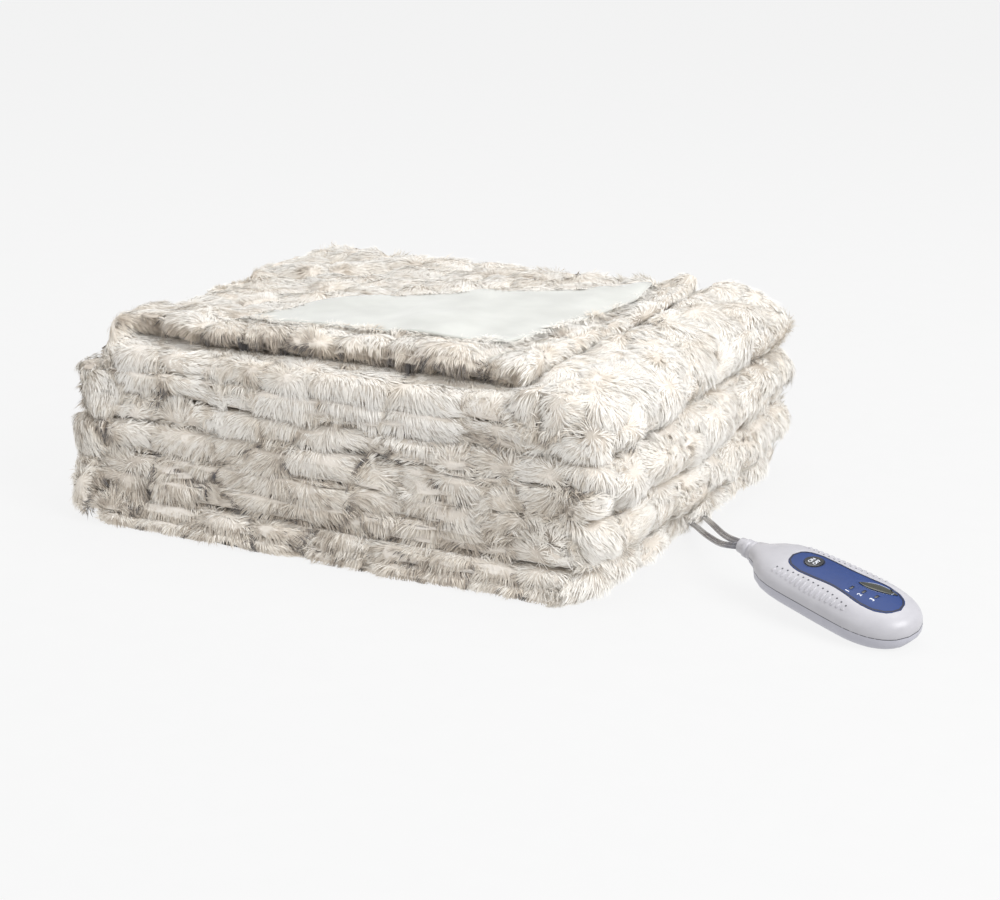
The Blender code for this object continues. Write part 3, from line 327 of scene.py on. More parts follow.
def wound(centre, radii, end_angle):
    """A coil wound outside to inside and back, layer on layer, counterclockwise from its right."""
    inner, outer = radii
    per_layer = (outer - inner) / TURN_PITCH
    climb = 0.16                          # of a turn, where it steps up to the next layer
    steps = int(COIL_STEPS * end_angle / math.tau)
    out = []
    for i in range(steps + 1):
        angle = end_angle * i / steps
        layer, along = divmod(angle / math.tau, per_layer + climb)
        share = min(1.0, along / per_layer)
        radius = outer - (outer - inner) * share if int(layer) % 2 == 0 else inner + (outer - inner) * share
        rise = max(0.0, (along - per_layer) / climb)
        rise = rise * rise * (3 - 2 * rise)
        z = LEAD_LOW + (layer + rise) * COIL_LAYER
        out.append(Vector((centre[0] + radius * math.cos(angle), centre[1] + radius * math.sin(angle), z)))
    return out


def even_steps(points, step):
    """The same line with its points an even step apart."""
    p = np.array([tuple(q) for q in points])
    lengths = np.concatenate([[0], np.cumsum(np.linalg.norm(np.diff(p, axis=0), axis=1))])
    marks = np.linspace(0, lengths[-1], max(2, int(round(lengths[-1] / step)) + 1))
    return np.stack([np.interp(marks, lengths, p[:, k]) for k in range(3)], axis=1)


def twin_section():
    """The figure-eight outline of a two-core flat lead: its two round cores and the waist between."""
    round_radius = LEAD_THICK / 2
    off = LEAD_WIDTH / 2 - round_radius
    outline = []
    for side in (1, -1):
        outline.append((0.0, -side * WAIST_THICK / 2))
        for k in range(9):
            a = math.radians(-120 + 30 * k)
            outline.append((side * (off + round_radius * math.cos(a)), side * round_radius * math.sin(a)))
    return outline


def lead_mesh(name, line):
    """The lead's skin along its centreline: on its edge at the collar, and flat where it lies."""
    line = np.array(line)
    along = unit(np.gradient(line, axis=0))
    side = unit(np.cross(along, (0.0, 0.0, 1.0)))
    top = np.cross(side, along)
    gone = np.concatenate([[0], np.cumsum(np.linalg.norm(np.diff(line, axis=0), axis=1))])
    share = np.clip(1 - gone / LEAD_TWIST_LENGTH, 0, 1)
    twist = LEAD_TWIST * (share * share * (3 - 2 * share))[:, None]
    side, top = side * np.cos(twist) + top * np.sin(twist), top * np.cos(twist) - side * np.sin(twist)
    outline = np.array(twin_section())
    n = len(outline)
    rings = line[:, None] + side[:, None] * outline[None, :, :1] + top[:, None] * outline[None, :, 1:]
    points = list(rings.reshape(-1, 3))
    faces = [(r * n + k, r * n + (k + 1) % n, (r + 1) * n + (k + 1) % n, (r + 1) * n + k)
             for r in range(len(line) - 1) for k in range(n)]
    for r, flip in ((0, True), (len(line) - 1, False)):
        points.append(line[r])
        middle = len(points) - 1
        for k in range(n):
            ring = (r * n + k, r * n + (k + 1) % n)
            faces.append((middle, *(reversed(ring) if flip else ring)))
    return mesh_piece(name, points, faces, LEAD_PVC)


def lead_path(route, foot, turns, tail):
    """Even steps along a lead: its route to the coil's foot, the coil, and the tail that leaves its top."""
    laid = [(x, y, z if i < 2 else max(z, 0) + LEAD_LOW) for i, (x, y, z) in enumerate(route)]
    into_coil = catmull_rom(laid + [(*foot, LEAD_LOW)], LEAD_STEP)
    out_of_it = catmull_rom([turns[-1], *tail], LEAD_STEP)
    return even_steps(into_coil[:-1] + turns + out_of_it[1:], LEAD_STEP)


def lay_leads():
    """Both leads: out of the collar, along the floor, under the throw's edge and into their coils."""
    turns = wound(*MAINS_COIL)
    top = turns[-1]
    tail = [(MAINS_COIL[0][0] - .012, top.y, top.z), (-.0285, .2715, top.z - 1.0 * MM),
            (-.0447, .2715, .00725)]
    path = lead_path(MAINS_ROUTE, (.0322, .2169), turns, tail)
    mains = lead_mesh("mains_cord", path)
    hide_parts("mains_lead", "mains_coil", "mains_tail")

    turns = wound(*BLANKET_COIL)
    top = turns[-1]
    tail = [(top.x, .2290, top.z), (.0722, .2200, top.z - 0.8 * MM), (.0720, .2050, .0075),
            (.0720, .1920, .0062), (.0720, .1782, .0060)]
    path = lead_path(BLANKET_ROUTE, (.1351, .2155), turns, tail)
    blanket = lead_mesh("blanket_cord", path)
    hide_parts("blanket_lead", "blanket_coil", "blanket_lead_end")


# ---------------------------------------------------------------- throw
# The ruched cloth. Each random pattern takes a seed of its own, counted on from this one.
SEED = 11
PUFF_PITCH, PUFF_HEIGHT = 48 * MM, 9.0 * MM   # one gathered cell of the ruched fur
# The tuck's width also sets how far the painted shade in it spreads.
PUFF_SHOULDER, TUCK_WIDTH = 0.62, 0.20        # of the pitch: a cell's rounding, and the tuck beside it
PIN_OFFSET = 0.46                             # of the pitch, from a cell's middle to its pinned point
PIN_REACH = 9 * MM                            # how far round the pinned point the hair stands up
TOP_FLATTER = 0.45                            # share of the height that cells lose where they lie level
FUR_DEPTH, CROWN_AT = 2.4 * MM, 0.6           # the ground's depth in the fur, at this share of a cell's height
UNEVEN_HEIGHT, UNEVEN_PITCH = 1.1 * MM, 30 * MM
FOLD_REACH = 30 * MM                          # how far a point has to see out to be on an open face
CLOTH_CLEAR, HAIR_CLEAR = 0.4 * MM, 0.5 * MM  # off the floor

# The pile: drawn coarser than real fur, which is some 0.05 mm thick, so that it shows.
HAIR_LENGTH, HAIR_WIDTH = (7.5 * MM, 12.5 * MM), 0.60 * MM
HAIRS, PIECE_TRIANGLES = 355_000, 190_000
LOCK_PITCH, SWEEP_PITCH, LENGTH_PITCH = 14 * MM, 80 * MM, 16 * MM
LINING_REACH, LINING_LIFT = 12 * MM, 2.2 * MM     # the hair that leans in over the lining's edge

# Creases between the layers that stay open: height, from x, to x (metres) and how open.
OPEN_CREASES = (
    (.025, -.08, .30, 0.8), (.085, -.30, -.04, 0.6), (.105, -.10, .30, 0.7), (.061, .08, .30, 0.4),
    (.145, -.30, .30, 1.0),
)
CREASE_DEPTH, CREASE_REACH, CREASE_FADE = 22 * MM, 7 * MM, 30 * MM
LAYER_REACH = 18 * MM                     # most of a layer's thickness
STAND_REACH, STAND_DEPTH = 8 * MM, 14 * MM    # the pile over a closed crease is held from this near
STACK_FOOT, STACK_HEAD, STACK_FADE = 6 * MM, 142 * MM, 12 * MM   # heights between which creases close
FACE_CELL = np.array([6 * MM, 2 * MM])
CLOSED_SIDES = ((1, -1), (1, 1), (0, -1))     # (axis, side): front, back and left


def rows_of(items, name, kind=np.float32):
    """A value of three numbers of each of a mesh's items, as rows."""
    out = np.empty(len(items) * 3, kind)
    items.foreach_get(name, out)
    return out.reshape(-1, 3)


def points_of(mesh):
    return rows_of(mesh.vertices, "co").astype(float)


def set_points(mesh, points):
    """Moves a mesh's points to the given rows."""
    mesh.vertices.foreach_set("co", points.astype(np.float32).ravel())
    mesh.update()


def normals_of(mesh):
    return rows_of(mesh.vertex_normals, "vector").astype(float)


def triangles_of(mesh):
    mesh.calc_loop_triangles()
    return rows_of(mesh.loop_triangles, "vertices", np.int32)


def tree_of(mesh):
    """A mesh's surface, to look for along a line."""
    return BVHTree.FromPolygons([tuple(p) for p in points_of(mesh)],
                                [tuple(int(k) for k in t) for t in triangles_of(mesh)])


def openness(tree, points, normals):
    """How far each point sees out of the folds, from 0 in a closed fold to 1 on an open face."""
    level = np.where(np.abs(normals[:, 2:3]) < 0.9, [[0.0, 0.0, 1.0]], [[1.0, 0.0, 0.0]])
    a = unit(np.cross(level, normals))
    b = np.cross(normals, a)
    rays = [normals, *(normals * 0.75 + k * 0.66 for k in (a, -a, b, -b))]
    seen = np.zeros(len(points))
    for ray in rays:
        for i in range(len(points)):
            p = Vector(points[i] + normals[i] * 0.6 * MM)
            d = Vector(ray[i])
            if p.z + d.z * FOLD_REACH >= 0.0 and tree.ray_cast(p, d, FOLD_REACH)[0] is None:
                seen[i] += 1
    return seen / len(rays)


def smooth_noise(points, pitch, seed):
    """Soft random hills about a pitch apart, from -1 to 1: a sum of plane waves in many directions."""
    rng = np.random.default_rng(seed)
    total = np.zeros(len(points))
    waves = 14
    for _ in range(waves):
        way = rng.normal(size=3)
        way /= np.linalg.norm(way)
        total += np.sin(points @ way * (math.tau / (pitch * rng.uniform(0.7, 1.5))) + rng.uniform(0, math.tau))
    return total / math.sqrt(waves) / 1.2


def noise_field(points, pitch, seed):
    """Soft random directions: a smooth noise on each axis."""
    return np.stack([smooth_noise(points, pitch, seed + k) for k in range(3)], axis=1)


class Gathers:
    """The ruched cells: each has a middle, and a pinned point near one edge that its hair fans from."""

    def __init__(self, points, normals, open_share):
        rng = np.random.default_rng(SEED)
        order = rng.permutation(np.nonzero(open_share > 0.35)[0])
        middles = np.empty((0, 3))
        kept = []
        room = PUFF_PITCH * np.clip(0.80 + 0.22 * smooth_noise(points, 120 * MM, SEED + 7), 0.55, 1.1)
        for i in order:
            if len(middles) and np.min(np.linalg.norm(middles - points[i], axis=1)) < room[i]:
                continue
            middles = np.vstack([middles, points[i]])
            kept.append(i)
        self.middles = middles
        way = rng.normal(size=middles.shape)
        way[:, 2] += 0.5                  # most fans open downwards, as the nap falls
        n = normals[kept]
        way = unit(way - n * np.sum(way * n, axis=1)[:, None])
        self.pins = middles + way * PUFF_PITCH * PIN_OFFSET
        self.shade = rng.normal(size=len(middles))
        self.lie = None                   # the pile's own normals, once the cloth is gathered

    def read(self, points):
        """For each point: its cell, the distance to that cell's middle and to the next one's."""
        cell = np.empty(len(points), int)
        first, second = np.empty(len(points)), np.empty(len(points))
        batch = 20_000
        for low in range(0, len(points), batch):
            part = slice(low, low + batch)
            d = np.linalg.norm(points[part, None] - self.middles[None], axis=2)
            cell[part] = d.argmin(axis=1)
            first[part], second[part] = np.partition(d, 1, axis=1)[:, :2].T
        return cell, first, second

    def puff(self, points):
        """Height of the gathered cell at each point, 0 in its tucks and 1 at its crown."""
        _, first, second = self.read(points)
        edge = np.clip((second - first) / (PUFF_PITCH * PUFF_SHOULDER), 0, 1)
        return np.sqrt(edge * (2 - edge))


def left_open(points):
    """How open the crease at each point is left."""
    x, z = points[:, 0], points[:, 2]
    stays = np.zeros(len(points))
    for height, start, end, share in OPEN_CREASES:
        along = np.clip((x - start) / CREASE_FADE, 0, 1) * np.clip((end - x) / CREASE_FADE, 0, 1)
        stays = np.maximum(stays, share * along * np.exp(-((z - height) / CREASE_REACH) ** 2))
    return stays


def levelled(points, normals):
    """Normals that pass upright over the closed creases, so that the pile lies across them, and how closed."""
    z = points[:, 2]
    closed = ((1 - left_open(points)) * np.clip((z - STACK_FOOT) / STACK_FADE, 0, 1)
              * np.clip((STACK_HEAD - z) / STACK_FADE, 0, 1)
              * np.clip((0.80 - normals[:, 0]) / 0.3, 0, 1))      # the right side's creases all stay
    out = normals.copy()
    out[:, 2] *= 1 - 0.85 * closed
    return unit(out), closed


def outer_face(points, normals, axis, side, spots, reach):
    """How far out the cloth stands beside each spot, on one side of the stack, within a reach up or down."""
    pair = [1 - axis, 2]
    base = points[:, pair].min(axis=0) - 4 * FACE_CELL
    shape = tuple(np.ceil((points[:, pair].max(axis=0) - base) / FACE_CELL).astype(int) + 4)
    front = np.full(shape, -1.0)
    facing = normals[:, axis] * side > 0.3
    at = np.round((points[facing][:, pair] - base) / FACE_CELL).astype(int)
    np.maximum.at(front, (at[:, 0], at[:, 1]), points[facing, axis] * side)
    for _ in range(int(reach / FACE_CELL[1])):
        front[:, 1:-1] = np.maximum(front[:, 1:-1], np.maximum(front[:, 2:], front[:, :-2]))
    for _ in range(2):
        front[1:-1, 1:-1] = (front[1:-1, 1:-1] * 2 + front[2:, 1:-1] + front[:-2, 1:-1]
                             + front[1:-1, 2:] + front[1:-1, :-2]) / 6
    grid = np.clip((spots[:, pair] - base) / FACE_CELL, 0, np.array(shape) - 2)
    low = np.floor(grid).astype(int)
    part = grid - low
    return sum(front[low[:, 0] + i, low[:, 1] + j]
               * (part[:, 0] if i else 1 - part[:, 0]) * (part[:, 1] if j else 1 - part[:, 1])
               for i in (0, 1) for j in (0, 1))


def close_creases(points, normals, axis, side):
    """Brings the layers' rounded edges on one side out to a common face, as the thick pile fills them."""
    face = outer_face(points, normals, axis, side, points, LAYER_REACH)
    behind = np.clip(face - points[:, axis] * side, 0, CREASE_DEPTH)
    moved = points.copy()
    moved[:, axis] += side * behind * (1 - (behind / CREASE_DEPTH) ** 1.6) * (1 - left_open(points))
    return moved


def under_lining(points, above, reach):
    """Whether the lining lies over each point, looked for from a little above it downwards."""
    lining = tree_of(NODES["plush_lining"].data)
    return np.array([lining.ray_cast(Vector(p) + Vector((0, 0, above)), DOWN, reach)[0] is not None
                     for p in points])


def sew_ground():
    """The throw's ground cloth: the folded solid, smoothed, drawn in by the fur's depth and ruched."""
    work = welded("fur_throw")
    piece = in_scene("fur_ground", bpy.data.meshes.new("fur_ground"))
    work.to_mesh(piece.data)
    work.free()
    finer = piece.modifiers.new("finer", "SUBSURF")
    finer.subdivision_type = "SIMPLE"
    finer.levels = finer.render_levels = 2
    softer = piece.modifiers.new("softer", "SMOOTH")
    softer.factor, softer.iterations = 0.5, 3
    cloth = settle(piece)
    for axis, side in CLOSED_SIDES:
        set_points(cloth, close_creases(points_of(cloth), normals_of(cloth), axis, side))
    points, normals = points_of(cloth), normals_of(cloth)
    bare = openness(tree_of(cloth), points, normals)
    gathers = Gathers(points, normals, bare)
    free = np.where(under_lining(points, 12 * MM, 20 * MM), 0.0, np.clip((bare - 0.15) / 0.5, 0, 1))
    uneven = smooth_noise(points, UNEVEN_PITCH, SEED + 5) * UNEVEN_HEIGHT
    height = PUFF_HEIGHT * (1 - TOP_FLATTER * np.clip(normals[:, 2], 0, 1))
    depth = FUR_DEPTH - height * (gathers.puff(points) - CROWN_AT) - uneven
    moved = points - normals * (free * depth)[:, None]
    moved[:, 2] = np.maximum(moved[:, 2], CLOTH_CLEAR)
    set_points(cloth, moved)
    gathers.lie = unit(levelled(points, normals)[0] + normals_of(cloth) - normals)
    cloth.materials.clear()
    cloth.materials.append(FUR_GROUND)
    cloth.shade_smooth()
    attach(piece, "blanket")
    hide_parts("fur_throw")
    return piece, gathers


def lining_rim():
    """Points along the lining's edge, seen from above."""
    work = welded("plush_lining")
    work.normal_update()
    line = []
    for edge in work.edges:
        tilts = sorted(face.normal.z for face in edge.link_faces)
        if len(tilts) == 2 and abs(tilts[0]) < 0.4 and tilts[1] > 0.7:
            a, b = (np.array(v.co[:2]) for v in edge.verts)
            line += [a + (b - a) * k / 8 for k in range(8)]
    work.free()
    return np.array(line)


def over_lining(root, normal):
    """How far each hair leans in over the lining's edge, and how near that edge it grows."""
    line = lining_rim()
    lean, beside = np.zeros_like(root), np.zeros(len(root))
    top = np.nonzero((root[:, 2] > 0.145) & (normal[:, 2] > 0.5))[0]
    for part in np.array_split(top, 8):
        gap = line[None] - root[part, None, :2]
        reach = np.linalg.norm(gap, axis=2)
        best = reach.argmin(axis=1)
        near = reach[np.arange(len(part)), best]
        toward = gap[np.arange(len(part)), best] / np.maximum(near, 1e-4)[:, None]
        beside[part] = np.clip(1 - near / LINING_REACH, 0, 1)
        lean[part, :2] = toward * (3.0 * beside[part])[:, None]
    return lean, beside


def hair_weights(mesh, corners):
    """How much of the hair each triangle of the ground takes: all on an open face, none in a fold."""
    a, b, c = corners
    cross = np.cross(b - a, c - a)
    centre, facing = (a + b + c) / 3, unit(cross)
    points, normals = points_of(mesh), normals_of(mesh)
    seen = openness(tree_of(mesh), centre, facing)
    closed = levelled(centre, facing)[1] > 0.5
    shown = seen >= 0.39
    for axis, side in CLOSED_SIDES:
        face = outer_face(points, normals, axis, side, centre, STAND_REACH)
        shown |= closed & (np.abs(face - centre[:, axis] * side) < 5 * MM) & (facing[:, axis] * side > -0.2)
    weights = np.linalg.norm(cross, axis=1) / 2 * np.where(
        under_lining(centre, 14 * MM, 30 * MM), 0.0, np.where(shown, 1.0, np.where(seen >= 0.19, 0.5, 0.0)))
    weights *= 1 + 2.0 * over_lining(centre, facing)[1]
    weights[closed & (facing[:, 2] < -0.8)] *= 0.3
    return weights / weights.sum()


def scatter_roots(mesh, gathers, rng):
    """Where the hairs grow, and the direction that faces out of the pile there."""
    tris = triangles_of(mesh)
    points, normals = points_of(mesh), normals_of(mesh)
    corners = [points[tris[:, k]] for k in range(3)]
    pick = rng.choice(len(tris), HAIRS, p=hair_weights(mesh, corners))
    u, v = rng.random(HAIRS), rng.random(HAIRS)
    flip = u + v > 1
    u[flip], v[flip] = 1 - u[flip], 1 - v[flip]
    shares = [part[:, None] for part in (1 - u - v, u, v)]
    root = sum(corner[pick] * share for corner, share in zip(corners, shares))
    normal = unit(sum(gathers.lie[tris[pick, k]] * share for k, share in enumerate(shares)))

    # Over a closed crease the pile stands out to the common face.
    closed = levelled(root, normal)[1]
    for axis, side in CLOSED_SIDES:
        behind = outer_face(points, normals, axis, side, root, STAND_REACH) - root[:, axis] * side
        out = (behind > 0) & (behind < STAND_DEPTH) & (normal[:, axis] * side > 0.55)
        root[out, axis] += side * (behind * closed)[out] * 0.9
    return root, normal


def comb(root, normal, pins, rng):
    """The way each hair lies: out from its cell's pinned point, in swirling locks, and down the sides."""
    way = root - pins
    reach = np.linalg.norm(way, axis=1)
    way = unit(way) * np.clip(reach / PIN_REACH, 0.3, 1.0)[:, None] * 0.8
    way[:, 2] -= 0.35
    lock = noise_field(root, LOCK_PITCH, SEED + 20)
    sweep = noise_field(root, SWEEP_PITCH, SEED + 30)
    way = way + lock * 0.22 + sweep * 0.60 + rng.normal(size=way.shape) * 0.06
    lean, beside = over_lining(root, normal)
    way += lean
    way[:, 2] -= 0.35 * np.clip(-normal[:, 1], 0, 1)
    way = unit(way - normal * np.sum(way * normal, axis=1)[:, None])
    return way, lock, np.exp(-(reach / PIN_REACH) ** 2), beside


def dye(root, normal, own_shade, tuck_shade, pinned, rng):
    """Each hair's place along the fur's colour stops: ivory at large, streaky beige patches, and painted shade
    down the front face, low on it, under the flap's front edge, in the tucks and round the pinned points.
    """
    streak = smooth_noise(root, 5 * MM, SEED + 50)
    patch = smooth_noise(root, 48 * MM, SEED + 51) + 0.45 * own_shade
    fleck = smooth_noise(root, 17 * MM, SEED + 52)
    # Painted shade: the front face is darker and more streaked than the top and the right side, and darker still
    # low down and under the flap's front edge.
    front_face_shade = np.clip(-normal[:, 1], 0, 1) * np.clip((0.235 - root[:, 0]) / 0.05, 0, 1)
    low_front_shade = front_face_shade * np.clip(1 - root[:, 2] / 0.12, 0, 1)
    under_flap_shade = front_face_shade * np.exp(-((root[:, 2] - 0.156) / 0.012) ** 2) * (root[:, 0] < 0.16)
    patches_and_front_shade = np.clip(0.17 + 0.70 * patch + 0.18 * front_face_shade + 0.45 * low_front_shade, 0, 1)
    # Painted shade also darkens the tucks between cells, patchily with the fleck noise, and round each pinned
    # point where the pile parts.
    shade = (0.07 + 0.34 * low_front_shade + 0.62 * under_flap_shade
             + patches_and_front_shade * (0.19 + 0.16 * streak + rng.normal(size=HAIRS) * 0.07)
             + tuck_shade * (0.14 + 0.18 * front_face_shade + 0.44 * np.clip(fleck, 0, 1.5))
             + pinned * (0.06 + 0.34 * np.clip(0.3 + fleck, 0, 1.2)) + rng.normal(size=HAIRS) * 0.015)
    return np.clip(shade, 0.01, 0.99)


def plant_hairs(ground, gathers):
    """Hair over the ground's open faces, fanning from each cell's pinned point and laid down by its nap."""
    rng = np.random.default_rng(SEED + 1)
    root, normal = scatter_roots(ground.data, gathers, rng)
    cell, first, second = gathers.read(root)
    # Nearness to a tuck, for the painted shade there.
    tuck_shade = np.clip(1 - (second - first) / (PUFF_PITCH * TUCK_WIDTH), 0, 1)
    way, lock, pinned, beside = comb(root, normal, gathers.pins[cell], rng)
    root[:, 2] += LINING_LIFT * beside

    length = rng.uniform(*HAIR_LENGTH, HAIRS) * (0.9 + 0.25 * smooth_noise(root, LENGTH_PITCH, SEED + 40))
    rise = np.radians(rng.uniform(3, 14, HAIRS) + 14 * pinned + 22 * beside)
    fall = np.radians(rng.uniform(-7, 6, HAIRS))
    half = 0.5 * length
    mid = root + way * (half * np.cos(rise))[:, None] + normal * (half * np.sin(rise))[:, None]
    bend = way + rng.normal(size=way.shape) * 0.06 + lock * 0.10
    tip = mid + bend * (half * np.cos(fall))[:, None] + normal * (half * np.sin(fall))[:, None]
    tip[:, 2] -= 0.5 * MM
    base = root - normal * (0.4 * MM)
    across = unit(np.cross(normal, way) + normal * rng.uniform(-0.35, 0.35, HAIRS)[:, None])
    wide = (HAIR_WIDTH * rng.uniform(0.7, 1.25, HAIRS) / 2)[:, None]
    hair = np.stack([base, mid - across * wide, mid + across * wide, tip], axis=1)
    hair[:, :, 2] = np.maximum(hair[:, :, 2], HAIR_CLEAR)

    shade = dye(root, normal, gathers.shade[cell], tuck_shade, pinned, rng)
    shine = unit(normal * 0.8 + across * rng.normal(size=(HAIRS, 1)) * 0.10 + way * 0.15)
    order = np.argsort(root[:, 0], kind="stable")
    parts = np.array_split(order, math.ceil(HAIRS * 2 / PIECE_TRIANGLES))
    return [hair_piece(f"faux_fur_{k + 1}", hair[part], shade[part], shine[part])
            for k, part in enumerate(parts)]


def hair_piece(name, hair, shade, shine):
    """One mesh of many hairs, each a slim leaf of two triangles, bent at its middle.

    A hair takes most of its shading direction from the cloth under it, as a dense pile does.
    """
    count = len(hair)
    mesh = bpy.data.meshes.new(name)
    corners = (np.arange(count)[:, None] * 4 + np.array([[0, 1, 2, 2, 1, 3]])).ravel()
    mesh.vertices.add(count * 4)
    mesh.vertices.foreach_set("co", hair.astype(np.float32).ravel())
    mesh.loops.add(count * 6)
    mesh.loops.foreach_set("vertex_index", corners.astype(np.int32))
    mesh.polygons.add(count * 2)
    mesh.polygons.foreach_set("loop_start", (np.arange(count * 2) * 3).astype(np.int32))
    mesh.update(calc_edges=True)
    pairs = np.empty((count, 6, 2), np.float32)
    pairs[:, :, 0] = shade[:, None]
    pairs[:, :, 1] = (0.02, 0.5, 0.5, 0.5, 0.5, 0.98)     # root, middle and tip
    mesh.uv_layers.new(name="OFBake").data.foreach_set("uv", pairs.ravel())
    mesh.polygons.foreach_set("use_smooth", np.ones(count * 2, bool))
    mesh.normals_split_custom_set_from_vertices(np.repeat(shine, 4, axis=0).astype(np.float32))
    mesh.materials.append(FUR)
    piece = in_scene(name, mesh)
    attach(piece, "blanket")
    return piece


def lay_lining():
    """The white lining where the top flap is turned back: a soft sheet with low wrinkles."""
    work = welded("plush_lining")
    for _ in range(3):
        long_edges = [e for e in work.edges if e.calc_length() > 6 * MM]
        if long_edges:
            bmesh.ops.subdivide_edges(work, edges=long_edges, cuts=1, use_grid_fill=True)
    bmesh.ops.triangulate(work, faces=[f for f in work.faces if len(f.verts) > 4])
    mesh = bpy.data.meshes.new("plush_face")
    work.to_mesh(mesh)
    work.free()
    points = points_of(mesh)
    wrinkle = (smooth_noise(points * [1.0, 0.6, 1.0], 70 * MM, SEED + 60) * 1.7
               + smooth_noise(points * [1.0, 0.7, 1.0], 28 * MM, SEED + 61) * 0.5) * MM
    points[:, 2] += np.maximum(wrinkle * 1.4, -0.4 * MM) + 0.5 * MM
    set_points(mesh, points)
    mesh.materials.append(PLUSH)
    mesh.shade_smooth()
    piece = in_scene("plush_face", mesh)
    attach(piece, "blanket")
    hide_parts("plush_lining")


# ---------------------------------------------------------------- controller
HANDSET = Matrix((
    (0.929371, 0.360943, 0.077394, 0.3267),
    (-0.338263, 0.916638, -0.212962, -0.1203),
    (-0.147809, 0.171741, 0.973990, 0.033182),
    (0.0, 0.0, 0.0, 1.0),
))
ALONG = Vector((1, 0, 0))                 # from the handset's neck to its tail
FACE_HEIGHT, OVER_FACE, ROUND_SHELL = 16.5 * MM, 30 * MM, 50 * MM     # about, above it, and outside the shell

INLAY_OUTLINE = (                         # along, half width, mm
    (34.0, 0.0), (36.0, 6.8), (41.0, 11.2), (51.0, 13.6), (63.0, 13.4), (79.0, 12.6),
    (93.0, 13.8), (107.0, 15.6), (117.0, 14.6), (125.5, 10.4), (129.0, 5.8), (130.5, 0.0),
)
GRIP = (                                  # along mm, angle of the dot, angle of the rib's foot, degrees
    (34.5, 145.0, 156.3), (49.0, 140.7, 158.6), (63.5, 140.2, 161.8), (73.0, 141.0, 162.6),
    (86.5, 143.9, 160.2), (100.2, 149.6, 158.2),
)
GRIP_COUNT = 15                           # on each flank
RIB_HEAD, RIB_SECTIONS, RIB_STEPS = 3.2, 9, 6         # degrees below its dot; across and round the rib
RIB_HALF, RIB_RISE, RIB_SINK = 1.35 * MM, 0.85 * MM, 0.12 * MM
DOT_RADIUS, DOT_RISE, DOT_EDGE, DOT_STEPS = 0.75 * MM, 0.10 * MM, 0.04 * MM, 8
POWER_PLACE, POWER_RADIUS = (52.2 * MM, 1.8 * MM), 6.8 * MM
HEAT_PLACE, HEAT_SIZE, HEAT_TURN = (105.5 * MM, 6.6 * MM), (27.0 * MM, 8.0 * MM), math.radians(17)
WINDOW_PLACES = ((92.2, -5.8), (101.4, -3.8), (111.0, -2.0))       # mm
WINDOW_HALF = 1.8 * MM
NUMERAL_HEIGHT, NUMERAL_GAP = 3.4 * MM, 1.6 * MM
WORD_HEIGHT, WORD_OFFSET = 2.9 * MM, 2.2 * MM         # ON above the button's middle, OFF below it
PRINT_LIFT, CAPITAL_SHARE = 0.05 * MM, 0.7            # a capital's share of its type size
BORDER_INSET, BORDER_WIDTH, BORDER_LIFT = 0.25 * MM, 1.2 * MM, 0.10 * MM
RIM_OFFSET, RIM_WIDTH, LIP_LIFT = 0.9 * MM, 0.5 * MM, 0.06 * MM
RING_STEPS = 48
SEAM_MIDDLE, SEAM_HEIGHT = 62 * MM, 0.5 * MM          # where it is looked for from: along, and up
SEAM_HALF, SEAM_LIFT, SEAM_STEPS = 0.32 * MM, 0.06 * MM, 240


def handset_tree(node):
    """A CAD node's surface in the handset's own axes, for setting print and ribs on it."""
    back = HANDSET.inverted()
    mesh = NODES[node].data
    return BVHTree.FromPolygons([back @ v.co for v in mesh.vertices], [tuple(f.vertices) for f in mesh.polygons])


def on_face(tree, x, y, lift):
    """The point on a face seen from above the handset, lifted off it."""
    hit = tree.ray_cast(Vector((x, y, OVER_FACE)), DOWN)[0]
    return HANDSET @ Vector((x, y, (hit.z if hit else FACE_HEIGHT) + lift))


def round_side(tree, x, degrees, flank):
    """The shell's surface point and normal at a distance along it and an angle round it, on either flank."""
    a = math.radians(degrees)
    out = Vector((0.0, flank * math.cos(a), math.sin(a)))
    hit, normal = tree.ray_cast(ALONG * x + out * ROUND_SHELL, -out)[:2]
    return hit, normal


def rib_points(shell, x, dot, foot, flank):
    """A finger rib, a long low drop: sections from its head under the dot to its foot, x in mm."""
    points = []
    for i in range(RIB_SECTIONS):
        t = i / (RIB_SECTIONS - 1)
        head = dot + RIB_HEAD
        p, n = round_side(shell, (x - 0.2 - 0.9 * t) * MM, head + (foot - head) * t, flank)
        swell = math.sqrt(max(0.0, 1 - abs(2 * t - 1) ** 2.6)) * (0.75 + 0.35 * t)
        for j in range(RIB_STEPS + 1):
            a = math.pi * j / RIB_STEPS
            points.append(HANDSET @ (p + ALONG * (math.cos(a) * RIB_HALF * swell)
                                     + n * (math.sin(a) * RIB_RISE * swell - RIB_SINK)))
    return points


def dot_points(shell, x, degrees, flank):
    """A small dot, a low disc: its middle and then its edge, x in mm."""
    p, n = round_side(shell, x * MM, degrees, flank)
    across = n.cross(ALONG).normalized()
    points = [HANDSET @ (p + n * DOT_RISE)]
    for j in range(DOT_STEPS):
        a = math.tau * j / DOT_STEPS
        points.append(HANDSET @ (p + (ALONG * math.cos(a) + across * math.sin(a)) * DOT_RADIUS + n * DOT_EDGE))
    return points


